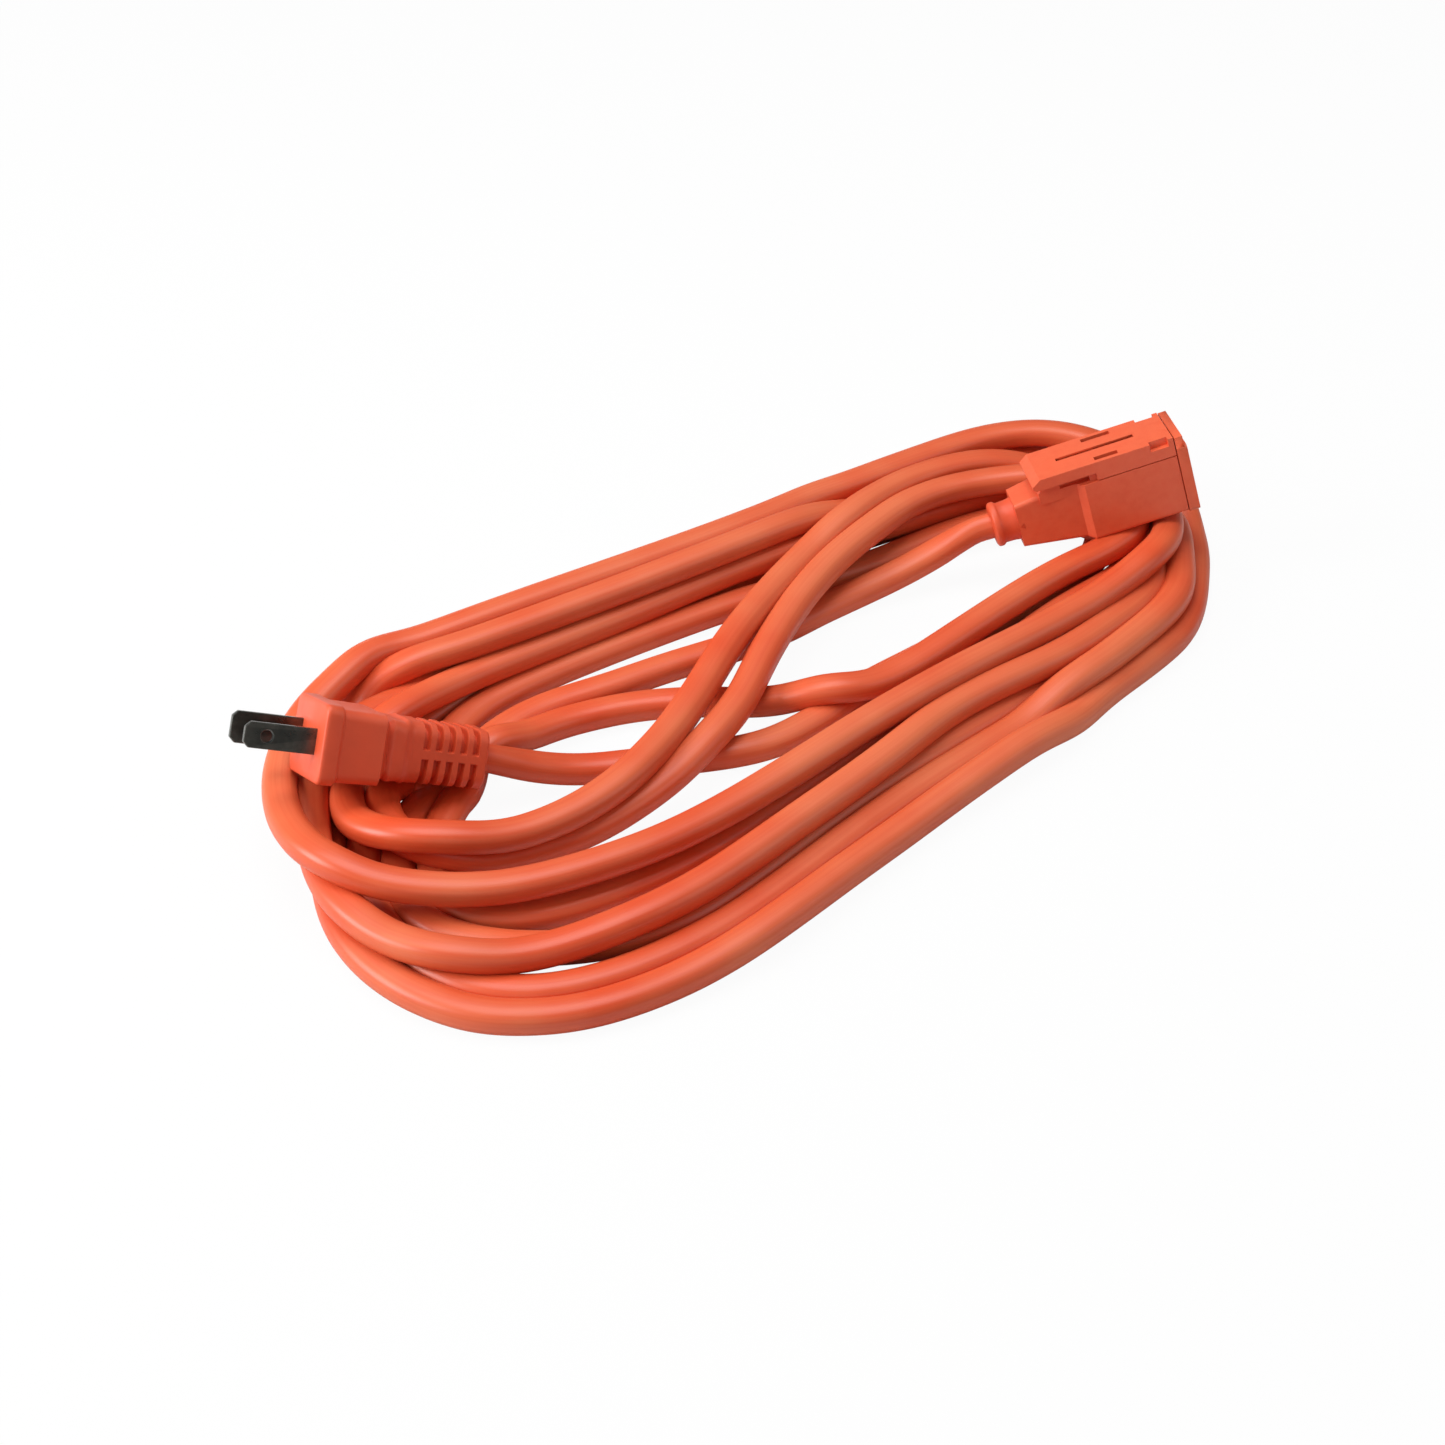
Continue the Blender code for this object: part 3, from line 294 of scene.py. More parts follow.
# Each list is one run or one turn of the cord, in the order in which the cord is followed from the tap to the plug.
# Runs at the front go from left to right or back; runs at the back lie behind the open middle.
cordRuns = {
    "tapLead": [(62, 92, 10.5), (50, 86, 6.5), (37, 78, 4.5), (26, 70, 3.5), (16, 60, 3.5), (5, 53, 3.5),
                (-6, 47, 3.5), (-17, 41, 3.5), (-32, 31, 3.5), (-46, 24, 3.5)],
    "leadTurn": [(-57, 12, 3.5), (-63, 1, 3.5), (-67, -10, 3.5), (-69, -22, 3.5), (-69.5, -36, 3.5),
                 (-69, -48, 3.5), (-66, -57, 3.5), (-58, -64, 4)],
    "underFront": [(-44, -64, 4.5), (-20, -52, 4.5), (-1, -36, 4.5), (16, -17, 4.5), (38, 8, 4.5), (62, 32, 5),
                   (74, 44, 6), (93, 65, 7), (103, 74, 7.5), (115, 86, 8)],
    "innerRightTurn": [(115, 99, 7.5), (112, 110, 7), (103, 117, 6.5), (91, 118, 6.5), (77, 114, 6.5)],
    "lowBack": [(61, 106, 5.5), (36, 90, 4), (7, 76, 3.5), (-19, 59, 3.5), (-44, 41, 3.5), (-62, 26, 3.5)],
    "lowLeftTurn": [(-69, 13, 3.5), (-74, 0, 3.5), (-77, -12, 3.5), (-78, -26, 3.5), (-78.5, -40, 3.5),
                    (-78, -52, 3.5), (-75, -62, 3.5), (-68, -68, 3.5)],
    "hiddenFront": [(-58, -73, 3.5), (-42, -75, 3.5), (-27, -73, 3.5), (-11, -66, 3.5), (6, -50, 3.5),
                    (22, -31, 3.5), (43, -8, 3.5), (61, 9, 3.5), (81, 27, 3.5), (95, 40, 3.5), (110, 56, 3.5)],
    "hiddenRightTurn": [(120, 70, 3.5), (124, 87, 3.5), (123, 103, 5), (116, 117, 10), (101, 124, 15)],
    "crossRight": [(80, 122, 16), (60, 114, 16), (45, 101, 15.3), (33, 84, 14.6), (21, 61, 14), (11, 35, 13),
                   (4, 13, 12), (-5, -4, 11), (-16, -19, 10), (-33, -36, 8.5)],
    "stripLeftTurn": [(-50, -44, 7.5), (-60, -47, 8), (-69, -47, 9), (-77, -43, 10), (-82, -35, 10),
                      (-84, -25, 10), (-83.5, -14, 9.5), (-80, -5, 8.5), (-73, 1, 7), (-65, 3, 5),
                      (-58, 5, 3.5)],
    "middleRun": [(-52, 10, 3.5), (-42, 17, 3.5), (-32, 21, 3.5), (-19, 25, 3.5), (-6, 26, 3.5), (9, 26, 3.5),
                  (20, 26, 4.5)],
    "ledgeFront": [(32, 24, 7), (47, 31, 10), (63, 46, 11.5), (81, 65, 12), (94, 78, 12), (108, 90, 12)],
    "climbTurn": [(117, 99, 12), (119, 109, 11), (112, 122, 9), (99, 130, 7), (82, 132, 5)],
    "farBack": [(62, 124, 4), (36, 107, 3.5), (7, 88, 3.5), (-19, 70, 3.5), (-45, 52, 3.5)],
    "secondLeftTurn": [(-62, 36, 3.5), (-73, 24, 3.5), (-81, 13, 3.5), (-85.5, 1, 3.5), (-87.5, -12, 3.5),
                       (-87.5, -27, 3.5), (-87, -41, 3.5), (-85, -55, 3.5), (-80, -67, 3.5), (-73, -77, 3.5),
                       (-64, -85, 3.5)],
    "secondFront": [(-53, -91, 3.5), (-38, -90.5, 3.5), (-21, -84, 3.5), (-3, -71, 3.5), (18, -48, 3.5),
                    (36, -27, 3.5), (49, -13, 3.5), (60, -2, 3.5), (80, 16, 4.5), (92, 28, 6.5),
                    (103, 39, 8.3)],
    "secondRightTurn": [(111, 50, 9), (119, 62, 9.3), (125, 76, 9.5), (128, 90, 9.5), (129, 105, 9.5),
                        (126, 120, 9.3), (117, 135, 9), (103, 146, 9), (84, 151, 9)],
    "midBack": [(57, 136, 9.5), (41, 123, 9.7), (30, 114, 10), (2, 92, 10.3), (-23, 71, 10.3), (-47, 53, 10.3),
                (-66, 38, 10.3)],
    "ridgeLeftTurn": [(-75, 30, 10.3), (-83, 22, 10.3), (-90, 13, 10.3), (-96, 3, 10.3), (-100, -8, 10.3),
                      (-100.5, -21, 10.3), (-99.5, -34, 10), (-97, -47, 10), (-92, -60, 10), (-84, -72, 10),
                      (-72, -81, 10), (-58, -86, 10)],
    "ridgeFront": [(-41, -83, 10), (-11, -65, 10), (22, -30, 10), (43, -6, 10), (60, 15, 10), (78, 29, 10),
                   (90, 38, 10), (102, 50, 10), (111, 60, 9.5), (121, 74, 9)],
    "ridgeRightTurn": [(121, 89, 8), (121, 106, 8), (117, 121, 8.5), (108, 132, 9), (94, 138, 9.5),
                       (78, 137, 10)],
    "topBackFront": [(56, 124, 9.7), (41, 113, 11), (31, 105, 15), (20, 96, 17), (0, 81, 17), (-26, 62, 17),
                     (-50, 45, 17), (-72, 30, 17)],
    "outerLeftTurn": [(-84, 25, 15.7), (-92, 16, 12), (-97, 6, 8), (-99, -6, 4.5), (-97.5, -20, 3.5),
                      (-96, -34, 3.5), (-94, -48, 3.5), (-90, -61, 3.5), (-85, -73, 3.5), (-77, -83, 3.5),
                      (-67, -91, 3.5), (-54, -97, 3.5)],
    "outerFront": [(-38, -98, 3.5), (-21, -91.5, 3.5), (-3, -79, 3.5), (14, -62, 3.5), (31, -43, 3.5),
                   (43, -30, 3.5), (59, -12, 3.5), (75, 5, 3.5), (92, 23, 3.5), (108, 39, 3.5), (118, 50, 3.5),
                   (126, 61, 3.5)],
    "outerTopTurn": [(129, 72, 3.5), (133, 87, 4), (134, 102, 6.5), (131, 117, 10), (125, 131, 14),
                     (113, 143, 16)],
    "topBackRear": [(98, 150, 16.5), (80, 147, 16.5), (54, 131, 16.5), (25, 109, 17), (-2, 89, 17),
                    (-28, 71, 17), (-53, 54, 17), (-77, 37, 17)],
    "highLeftTurn": [(-87, 29, 17), (-96, 20, 17), (-103, 11, 15.5), (-107, 2, 14), (-109, -8, 13),
                     (-109, -20, 13.5), (-107, -33, 14.5), (-103, -44, 15.5), (-96, -55.5, 16.5),
                     (-87, -63, 16.5)],
    "highFront": [(-75, -66.5, 16), (-60, -67, 15), (-46, -63.5, 14), (-18, -49, 13.5), (-1, -35, 13),
                  (16, -19, 13.5), (38, 4, 13.5), (61, 25, 14), (88, 48, 14), (106, 65, 14), (119, 81, 14)],
    "highRightTurn": [(126, 95, 14), (125, 112, 13.5), (114, 125, 12.5), (97, 129, 11.5), (78, 124, 9.5)],
    "shoulderBack": [(57, 113, 9.5), (42, 104, 9.7), (30, 99.5, 10), (2, 81, 10.3), (-23, 61, 10.3),
                     (-47, 43, 10.3), (-69, 26, 10.3)],
    "hubTurn": [(-79, 17, 10.3), (-87, 8, 10.3), (-91.5, -2, 10), (-93, -13, 10), (-92.5, -24, 10),
                (-90, -34, 11), (-84, -42, 13), (-75, -46.5, 14.5), (-64, -47, 14.5)],
    "crossLeft": [(-53, -46, 14), (-37, -36, 13.5), (-22, -19, 13.5), (-8, 11, 14), (1, 36, 14.5),
                  (11, 59, 14.5), (25, 86, 14), (40, 108, 15.3), (56, 123, 16), (78, 133, 16)],
    "smallRightTurn": [(94, 135, 12), (106, 127, 7.5), (111, 115, 5), (109, 102, 4), (101, 90, 4),
                       (88, 79, 3.5)],
    "plugLead": [(61, 53, 3.5), (35, 30, 3.5), (12, 6, 3.5), (-9, 0.5, 3.5), (-27, -3, 3.5), (-39, -6, 4.9),
                 (-49, -8.5, 8)]}
tapStops = (-33.0, -27.0, -21.0, -15.5)  # along the tap's own x, straight through the collar
plugStops = (49.0, 43.0, 37.0, 30.1)  # along the plug's own x, straight through the relief
# boxes that the settling cord stays under: from x, to x, half width, depth below the axis at both ends
plugShadow = [(-1, 18, 14.5, 13, 13), (18, 24, 12, 11.5, 11.5), (24, 44, 9.5, 10.4, 9.6)]
tapShadow = [(-28, -20, 8.5, 9.9, 9.9), (-20, 0, 11, 9.5, 13.4), (0, 31, 12, 13.4, 13.7)]


def smoothLine(points, spacing):  # a centripetal curve through the guide points
    places = np.array(points, float)
    places = np.vstack([2 * places[0] - places[1], places, 2 * places[-1] - places[-2]])
    line = []
    for a, b, c, d in zip(places, places[1:], places[2:], places[3:]):
        ta = math.sqrt(np.linalg.norm(b - a))
        tb = ta + math.sqrt(np.linalg.norm(c - b))
        tc = tb + math.sqrt(np.linalg.norm(d - c))
        steps = max(2, int(np.linalg.norm(c - b) / spacing) + 1)
        for t in np.linspace(ta, tb, steps, endpoint=False):
            ab = (a * (ta - t) + b * t) / ta
            bc = (b * (tb - t) + c * (t - ta)) / (tb - ta)
            cd = (c * (tc - t) + d * (t - tb)) / (tc - tb)
            abc = (ab * (tb - t) + bc * t) / tb
            bcd = (bc * (tc - t) + cd * (t - ta)) / (tc - ta)
            line.append((abc * (tb - t) + bcd * (t - ta)) / (tb - ta))
    line.append(places[-2])
    return np.array(line)


def evenSteps(line, spacing):
    along = np.r_[0, np.cumsum(np.linalg.norm(np.diff(line, axis=0), axis=1))]
    count = int(round(along[-1] / spacing))
    stops = np.linspace(0, along[-1], count + 1)
    return np.stack([np.interp(stops, along, line[:, k]) for k in range(3)], 1)


def pushBelow(points, matrix, shadow):
    turn = np.array(matrix.to_3x3())
    place = np.array(matrix.translation) / mm
    local = (points - place) @ turn
    for startX, endX, half, startDepth, endDepth in shadow:
        share = np.clip((local[:, 0] - startX) / (endX - startX), 0, 1)
        limit = -(startDepth + (endDepth - startDepth) * share)
        inside = (local[:, 0] > startX) & (local[:, 0] < endX) & (np.abs(local[:, 1]) < half)
        inside &= (local[:, 2] > limit) & (local[:, 2] < 8)
        local[inside, 2] = limit[inside]
    return local @ turn.T + place


def settleCord(guide):
    count = len(guide)
    number = np.arange(count)
    points = guide.copy()
    eye = np.array(photoCamera.location) / mm
    ray = guide - eye
    ray /= np.linalg.norm(ray, axis=1)[:, None]
    wide, high = cordSetup["packWidth"], cordSetup["packHeight"]
    squeeze = np.array([1 / wide, 1 / wide, 1 / high])
    held = int(cordSetup["endStraight"] / cordSetup["step"]) + 1
    fixed = np.zeros(count, bool)
    fixed[:held] = fixed[-held:] = True
    first = second = None
    for turn in range(cordSetup["rounds"]):
        if turn % 10 == 0:  # which stretches lie near each other
            away = (((points[:, None, :] - points[None, :, :]) * squeeze) ** 2).sum(-1)
            away[np.abs(number[:, None] - number[None, :]) < cordSetup["neighbours"]] = 9
            first, second = np.where(np.triu(away < 2.2))
        gap = (points[first] - points[second]) * squeeze
        far = np.sqrt((gap ** 2).sum(1)) + 1e-9
        near = far < 1
        i, j, gap, far = first[near], second[near], gap[near], far[near]
        way = gap * squeeze
        way /= np.linalg.norm(way, axis=1)[:, None]
        move = way * ((1 - far) * 3.25)[:, None]
        push, hits = np.zeros_like(points), np.zeros(count)
        np.add.at(push, i, move)
        np.add.at(push, j, -move)
        np.add.at(hits, i, 1)
        np.add.at(hits, j, 1)
        points = points + cordSetup["push"] * push / np.maximum(1, hits)[:, None] ** 0.7
        back = guide - points
        along = (back * ray).sum(1)[:, None] * ray
        points = points + cordSetup["hold"] * (back - along) + cordSetup["holdAlongView"] * along
        points[:, 2] -= cordSetup["sink"]
        curl = np.zeros_like(points)
        curl[1:-1] = (points[:-2] + points[2:]) / 2 - points[1:-1]
        stiff = np.zeros_like(points)
        stiff[1:-1] = (curl[:-2] + curl[2:]) / 2 - curl[1:-1]
        points = points + cordSetup["curl"] * curl - cordSetup["stiff"] * stiff
        points = pushBelow(points, plugMatrix, plugShadow)
        points = pushBelow(points, tapMatrix, tapShadow)
        points[:, 2] = np.maximum(points[:, 2], cordSetup["height"] / 2 + 0.02)
        points[fixed] = guide[fixed]
    return points


def sectionPoint(angle, half, tall, squareness):
    c, s = math.cos(angle), math.sin(angle)
    size = (abs(c) ** squareness + abs(s) ** squareness) ** (-1 / squareness)
    return half * c * size, tall * s * size


def makeCord():
    shift = np.array(cordSetup["shift"])
    tapEnd = [np.array(tapMatrix @ Vector((x * mm, 0, 0))) / mm - shift for x in tapStops]
    plugEnd = [np.array(plugMatrix @ Vector((x * mm, 0, 0))) / mm - shift for x in plugStops]
    runs = [np.array(p) for run in cordRuns.values() for p in run]
    route = tapEnd[::-1] + runs + plugEnd
    guide = evenSteps(smoothLine(route, 1.0) + shift, cordSetup["step"])
    settled = settleCord(guide)
    line = evenSteps(smoothLine(settled, 0.5), cordSetup["drawStep"])
    count, ring = len(line), cordSetup["ringPoints"]
    along = np.r_[0, np.cumsum(np.linalg.norm(np.diff(line, axis=0), axis=1))]
    ahead = np.gradient(line, axis=0)
    ahead /= np.linalg.norm(ahead, axis=1)[:, None]
    side = np.cross(ahead, (0, 0, 1.0))
    side /= np.linalg.norm(side, axis=1)[:, None]
    over = np.cross(side, ahead)
    shape = bmesh.new()
    rings = []
    for k in range(count):
        fromEnd = min(along[k], along[-1] - along[k])
        flat = min(1.0, max(0.0, (fromEnd - 14) / 16))  # round where it goes into the plug and the tap
        flat = flat * flat * (3 - 2 * flat)
        half = (cordSetup["roundEnd"] + (cordSetup["width"] - cordSetup["roundEnd"]) * flat) / 2
        tall = (cordSetup["roundEnd"] + (cordSetup["height"] - cordSetup["roundEnd"]) * flat) / 2
        square = 2.0 + (cordSetup["squareness"] - 2.0) * flat
        now = []
        for n in range(ring):
            a, b = sectionPoint(2 * math.pi * n / ring, half, tall, square)
            now.append(shape.verts.new(Vector(line[k] + side[k] * a + over[k] * b) * mm))
        rings.append(now)
    uv = shape.loops.layers.uv.new("along")
    for k, (one, two) in enumerate(zip(rings, rings[1:])):
        for n in range(ring):
            m = (n + 1) % ring
            face = shape.faces.new((one[n], two[n], two[m], one[m]))
            face.smooth = True
            for loop, (u, v) in zip(face.loops, ((n, k), (n, k + 1), (n + 1, k + 1), (n + 1, k))):
                loop[uv].uv = (u / ring, along[v] / 100)
    shape.faces.new(rings[0])
    shape.faces.new(rings[-1][::-1])
    bmesh.ops.recalc_face_normals(shape, faces=shape.faces)
    mesh = bpy.data.meshes.new("cordHank")
    shape.to_mesh(mesh)
    shape.free()
    mesh.materials.append(jacketMat)
    cord = bpy.data.objects.new("cordHank", mesh)
    bpy.context.collection.objects.link(cord)
    print("cord", round(along[-1] / 1000, 3), "m")
    return cord, line * mm, along[-1] * mm


cordHank, cordLine, cordLength = makeCord()
cordNodes = ["cord_coil", "cord_plug_lead", "cord_tap_lead", "cord_inner_strand", "cord_crossing_strand_left",
             "cord_crossing_strand_right"]
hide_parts(*cordNodes)
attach(cordHank, "cord_set")

# ---- mesh helpers for the moulded pieces; sizes in millimetres in the plug's or the tap's own frame


def addPiece(name, shape, matrix, mat):
    bmesh.ops.recalc_face_normals(shape, faces=shape.faces)
    shape.transform(matrix @ Matrix.Scale(mm, 4))
    mesh = bpy.data.meshes.new(name)
    shape.to_mesh(mesh)
    shape.free()
    if mat:
        mesh.materials.append(mat)
    piece = bpy.data.objects.new(name, mesh)
    bpy.context.collection.objects.link(piece)
    return piece


def boxInto(shape, low, high):
    corners = [shape.verts.new((x, y, z)) for x in (low[0], high[0]) for y in (low[1], high[1])
               for z in (low[2], high[2])]
    for quad in ((0, 1, 3, 2), (4, 6, 7, 5), (0, 4, 5, 1), (2, 3, 7, 6), (0, 2, 6, 4), (1, 5, 7, 3)):
        shape.faces.new([corners[k] for k in quad])


def boxesPiece(name, boxes, matrix, mat=None):
    shape = bmesh.new()
    for low, high in boxes:
        boxInto(shape, low, high)
    return addPiece(name, shape, matrix, mat)


def rodInto(shape, radius, start, end, sides=32):
    start, end = Vector(start), Vector(end)
    turn = (end - start).to_track_quat("Z", "Y").to_matrix()
    rings = [[shape.verts.new(place + turn @ Vector((radius * math.cos(a), radius * math.sin(a), 0)))
              for a in (2 * math.pi * n / sides for n in range(sides))] for place in (start, end)]
    for n in range(sides):
        m = (n + 1) % sides
        shape.faces.new((rings[0][n], rings[0][m], rings[1][m], rings[1][n]))
    shape.faces.new(rings[0][::-1])
    shape.faces.new(rings[1])


def rodsPiece(name, rods, matrix, mat=None):
    shape = bmesh.new()
    for radius, start, end in rods:
        rodInto(shape, radius, start, end)
    return addPiece(name, shape, matrix, mat)


def prismPiece(name, outline, lowY, highY, matrix, mat=None):
    shape = bmesh.new()
    near = [shape.verts.new((x, lowY, z)) for x, z in outline]
    far = [shape.verts.new((x, highY, z)) for x, z in outline]
    shape.faces.new(near)
    shape.faces.new(far[::-1])
    for n in range(len(outline)):
        m = (n + 1) % len(outline)
        shape.faces.new((near[n], near[m], far[m], far[n]))
    return addPiece(name, shape, matrix, mat)


def softRing(halfY, halfZ, corner, sideSteps, arcSteps):  # (y, z) round a rectangle with soft corners
    ring = []
    insideY, insideZ = halfY - corner, halfZ - corner
    corners = ((1, 1), (-1, 1), (-1, -1), (1, -1))
    for number, (cy, cz) in enumerate(corners):
        for k in range(arcSteps + 1):
            angle = math.radians(90 * number + 90 * k / arcSteps)
            ring.append((insideY * cy + corner * math.cos(angle), insideZ * cz + corner * math.sin(angle)))
        nextY, nextZ = corners[(number + 1) % 4]
        start, angle = ring[-1], math.radians(90 * number + 90)
        end = (insideY * nextY + corner * math.cos(angle), insideZ * nextZ + corner * math.sin(angle))
        for k in range(1, sideSteps):
            share = k / sideSteps
            ring.append((start[0] + (end[0] - start[0]) * share, start[1] + (end[1] - start[1]) * share))
    return ring


def loftPiece(name, rings, matrix, mat=None, smooth=True):  # rings of (x, [(y, z), ...])
    shape = bmesh.new()
    made = [[shape.verts.new((x, y, z)) for y, z in ring] for x, ring in rings]
    for one, two in zip(made, made[1:]):
        for n in range(len(one)):
            m = (n + 1) % len(one)
            shape.faces.new((one[n], one[m], two[m], two[n]))
    shape.faces.new(made[0])
    shape.faces.new(made[-1][::-1])
    for face in shape.faces:
        face.smooth = smooth
    return addPiece(name, shape, matrix, mat)


def combine(piece, other, operation):
    change = piece.modifiers.new("change", "BOOLEAN")
    change.operation = operation
    change.solver = "EXACT"
    change.object = other
    applyAll(piece)
    mesh = other.data
    bpy.data.objects.remove(other)
    bpy.data.meshes.remove(mesh)


def applyAll(piece):
    graph = bpy.context.evaluated_depsgraph_get()
    graph.update()
    made = bpy.data.meshes.new_from_object(piece.evaluated_get(graph))
    old = piece.data
    made.name = piece.name
    piece.modifiers.clear()
    piece.data = made
    bpy.data.meshes.remove(old)


def cleanFaces(piece):  # joins what the cuts split, so that the rounding has whole faces to work on
    shape = bmesh.new()
    shape.from_mesh(piece.data)
    bmesh.ops.remove_doubles(shape, verts=shape.verts, dist=0.02 * mm)
    bmesh.ops.dissolve_limit(shape, angle_limit=math.radians(1.0), verts=shape.verts, edges=shape.edges)
    shape.to_mesh(piece.data)
    shape.free()


def roundEdges(piece, width, segments=3, limit=28.0):
    soften = piece.modifiers.new("soften", "BEVEL")
    soften.width = width * mm
    soften.segments = segments
    soften.limit_method = "ANGLE"
    soften.angle_limit = math.radians(limit)
    soften.use_clamp_overlap = True
    soften.harden_normals = True
    for face in piece.data.polygons:
        face.use_smooth = True
    applyAll(piece)
    piece.data.set_sharp_from_angle(angle=math.radians(40))


def crispEdges(piece, width):  # a narrow rounding between sides that stay flat
    cleanFaces(piece)
    roundEdges(piece, width, 2)
    for face in piece.data.polygons:
        face.use_smooth = False


def dressed(piece, body, slot, *nodes):
    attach(piece, body)
    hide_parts(*nodes)
    return piece


# ---- plug: x runs from its face to the cord, y across the two blades
plugSizes = {"faceY": 13.0, "faceZ": 9.75, "flange": 4.5, "flangeStep": 0.8, "grip": 17.1, "waist": 1.1,
             "shoulder": 4.6, "relief": 22.8, "end": 43.8, "reliefY": 7.75, "reliefZ": 7.35, "flare": 0.3,
             "corner": 2.4, "reliefCorner": 3.4, "slots": 5, "slotPitch": 3.2, "slotWidth": 1.45, "slotDepth": 1.6,
             "ridge": 1.1}


def plugSection(x):
    s = plugSizes
    gripY, gripZ = s["faceY"] - s["flangeStep"], s["faceZ"] - s["flangeStep"]
    shoulderY, shoulderZ = gripY - 2 * s["waist"], gripZ - 1.2 * s["waist"]
    table = [(0.0, s["faceY"] - 0.7, s["faceZ"] - 0.7, s["corner"]),
             (0.25, s["faceY"] - 0.2, s["faceZ"] - 0.2, s["corner"]), (0.7, s["faceY"], s["faceZ"], s["corner"]),
             (s["flange"] - 0.5, s["faceY"], s["faceZ"], s["corner"]),
             (s["flange"] - 0.1, s["faceY"] - 0.25, s["faceZ"] - 0.25, s["corner"]),
             (s["flange"] + 0.35, gripY, gripZ, s["corner"]),
             (s["grip"] - 1.6, gripY - 0.3, gripZ - 0.3, s["corner"]),
             (s["grip"] - 0.4, shoulderY - 0.5, shoulderZ - 0.5, s["corner"]),
             (s["grip"] + 0.2, shoulderY - 0.7, shoulderZ - 0.7, s["corner"]),
             (s["grip"] + 1.2, shoulderY, shoulderZ, s["corner"]),
             (s["relief"] - 1.3, shoulderY - 0.4, shoulderZ - 0.4, s["corner"] + 0.4),
             (s["relief"] - 0.3, s["reliefY"] + s["flare"] + 0.7, s["reliefZ"] + s["flare"] + 0.3, s["corner"] + 0.9),
             (s["relief"] + 0.8, s["reliefY"] + s["flare"], s["reliefZ"] + s["flare"], s["reliefCorner"]),
             (s["end"] - 0.7, s["reliefY"], s["reliefZ"], s["reliefCorner"]),
             (s["end"] - 0.2, s["reliefY"] - 0.25, s["reliefZ"] - 0.25, s["reliefCorner"]),
             (s["end"], s["reliefY"] - 0.7, s["reliefZ"] - 0.7, s["reliefCorner"] - 0.4)]
    xs = [row[0] for row in table]
    return [float(np.interp(x, xs, [row[k] for row in table])) for k in (1, 2, 3)]


def makePlugBody():
    s = plugSizes
    first = s["end"] - (s["slots"] + 0.3) * s["slotPitch"]
    stops = sorted({0.0, 0.1, 0.25, 0.45, 0.7, 1.2, 4.0, 4.2, 4.4, 4.6, 4.85, 5.2, 10.0, 15.5, 16.1, 16.7, 17.3, 17.8,
                    18.3, 19.0, 20.4, 21.5, 22.0, 22.5, 23.0, 23.6, 24.4, 25.4, 43.1, 43.4, 43.6, 43.8}
                   | {round(first - 0.6 + 0.2 * k, 2) for k in range(90)})
    rings = []
    for x in [v for v in stops if v <= s["end"]]:
        halfY, halfZ, corner = plugSection(x)
        ring = []
        for y, z in softRing(halfY, halfZ, corner, 24, 6):
            step = math.floor((x - first) / s["slotPitch"])
            inside = x - first - step * s["slotPitch"]
            edge = min(inside, s["slotWidth"] - inside) / 0.25
            offRidge = (abs(z) - s["ridge"]) / 0.5  # the rib along each narrow side stays whole
            if 0 <= step < s["slots"] and edge > -0.4 and offRidge > 0:
                depth = s["slotDepth"] * min(1.0, edge + 0.4) * min(1.0, offRidge)
                y *= 1 - depth / halfY
                z *= 1 - depth / halfZ
            ring.append((y, z))
        rings.append((x, ring))
    body = loftPiece("plugGrip", rings, plugMatrix, mouldedMat)
    body.data.set_sharp_from_angle(angle=math.radians(50))
    return body


plugBody = dressed(makePlugBody(), "cord_set", "moulded_orange", "plug_body")

bladeSizes = {"spacing": 6.35, "thickness": 1.5, "live": 6.35, "neutral": 7.9, "length": 17.5, "hole": 3.1,
              "holeAt": 12.0, "tip": 1.3, "root": 10.9}


def makeBlade(name, side, width, node):
    s = bladeSizes
    y, half = side * s["spacing"], width / 2
    tip = s["tip"]
    outline = [(-s["length"], -half + tip), (-s["length"] + tip, -half), (s["root"], -half), (s["root"], half),
               (-s["length"] + tip, half), (-s["length"], half - tip)]
    blade = prismPiece(name, outline, y - s["thickness"] / 2, y + s["thickness"] / 2, plugMatrix, metalMat)
    hole = rodsPiece("hole", [(s["hole"] / 2, (-s["holeAt"], y - 2, 0), (-s["holeAt"], y + 2, 0))], plugMatrix)
    combine(blade, hole, "DIFFERENCE")
    crispEdges(blade, 0.22)
    return dressed(blade, "cord_set", "blade_metal", node)


liveBlade = makeBlade("liveBlade", -1, bladeSizes["live"], "plug_blade_live")
neutralBlade = makeBlade("neutralBlade", 1, bladeSizes["neutral"], "plug_blade_neutral")
print("plug ready")

# ---- tap: x runs from the block's cord side to its end cap
tapSizes = {"halfY": 8.8, "halfZ": 10.1, "length": 26.7, "corner": 1.2, "taper": 20.0, "collar": 7.0, "collarY": 5.65,
            "collarZ": 6.25, "outlet": 8.0, "slotHalf": 0.95, "lidBase": 10.4, "lidTop": 13.6, "overhang": 14.0,
            "bevel": 2.4, "slitStart": -5.0, "slitEnd": 17.5, "slitWidth": 1.6, "skirt": 0.8, "skirtLow": 8.1,
            "skirtStart": 4.0, "travel": 11.0, "ribStart": -4.7, "ribEnd": 6.2, "ribHalf": 0.5, "notchStart": 20.0,
            "notchLength": 5.2, "notchWidth": 1.8, "notchDepth": 2.2, "cap": 3.0, "capY": 9.1, "padStart": -12.8,
            "padLow": 8.4, "padHalf": 7.0, "shoulder": 2.0, "neckY": 7.1, "neckZ": 9.3,
            "recessStart": -6.5, "recessEnd": 2.0, "recessLow": 8.2}


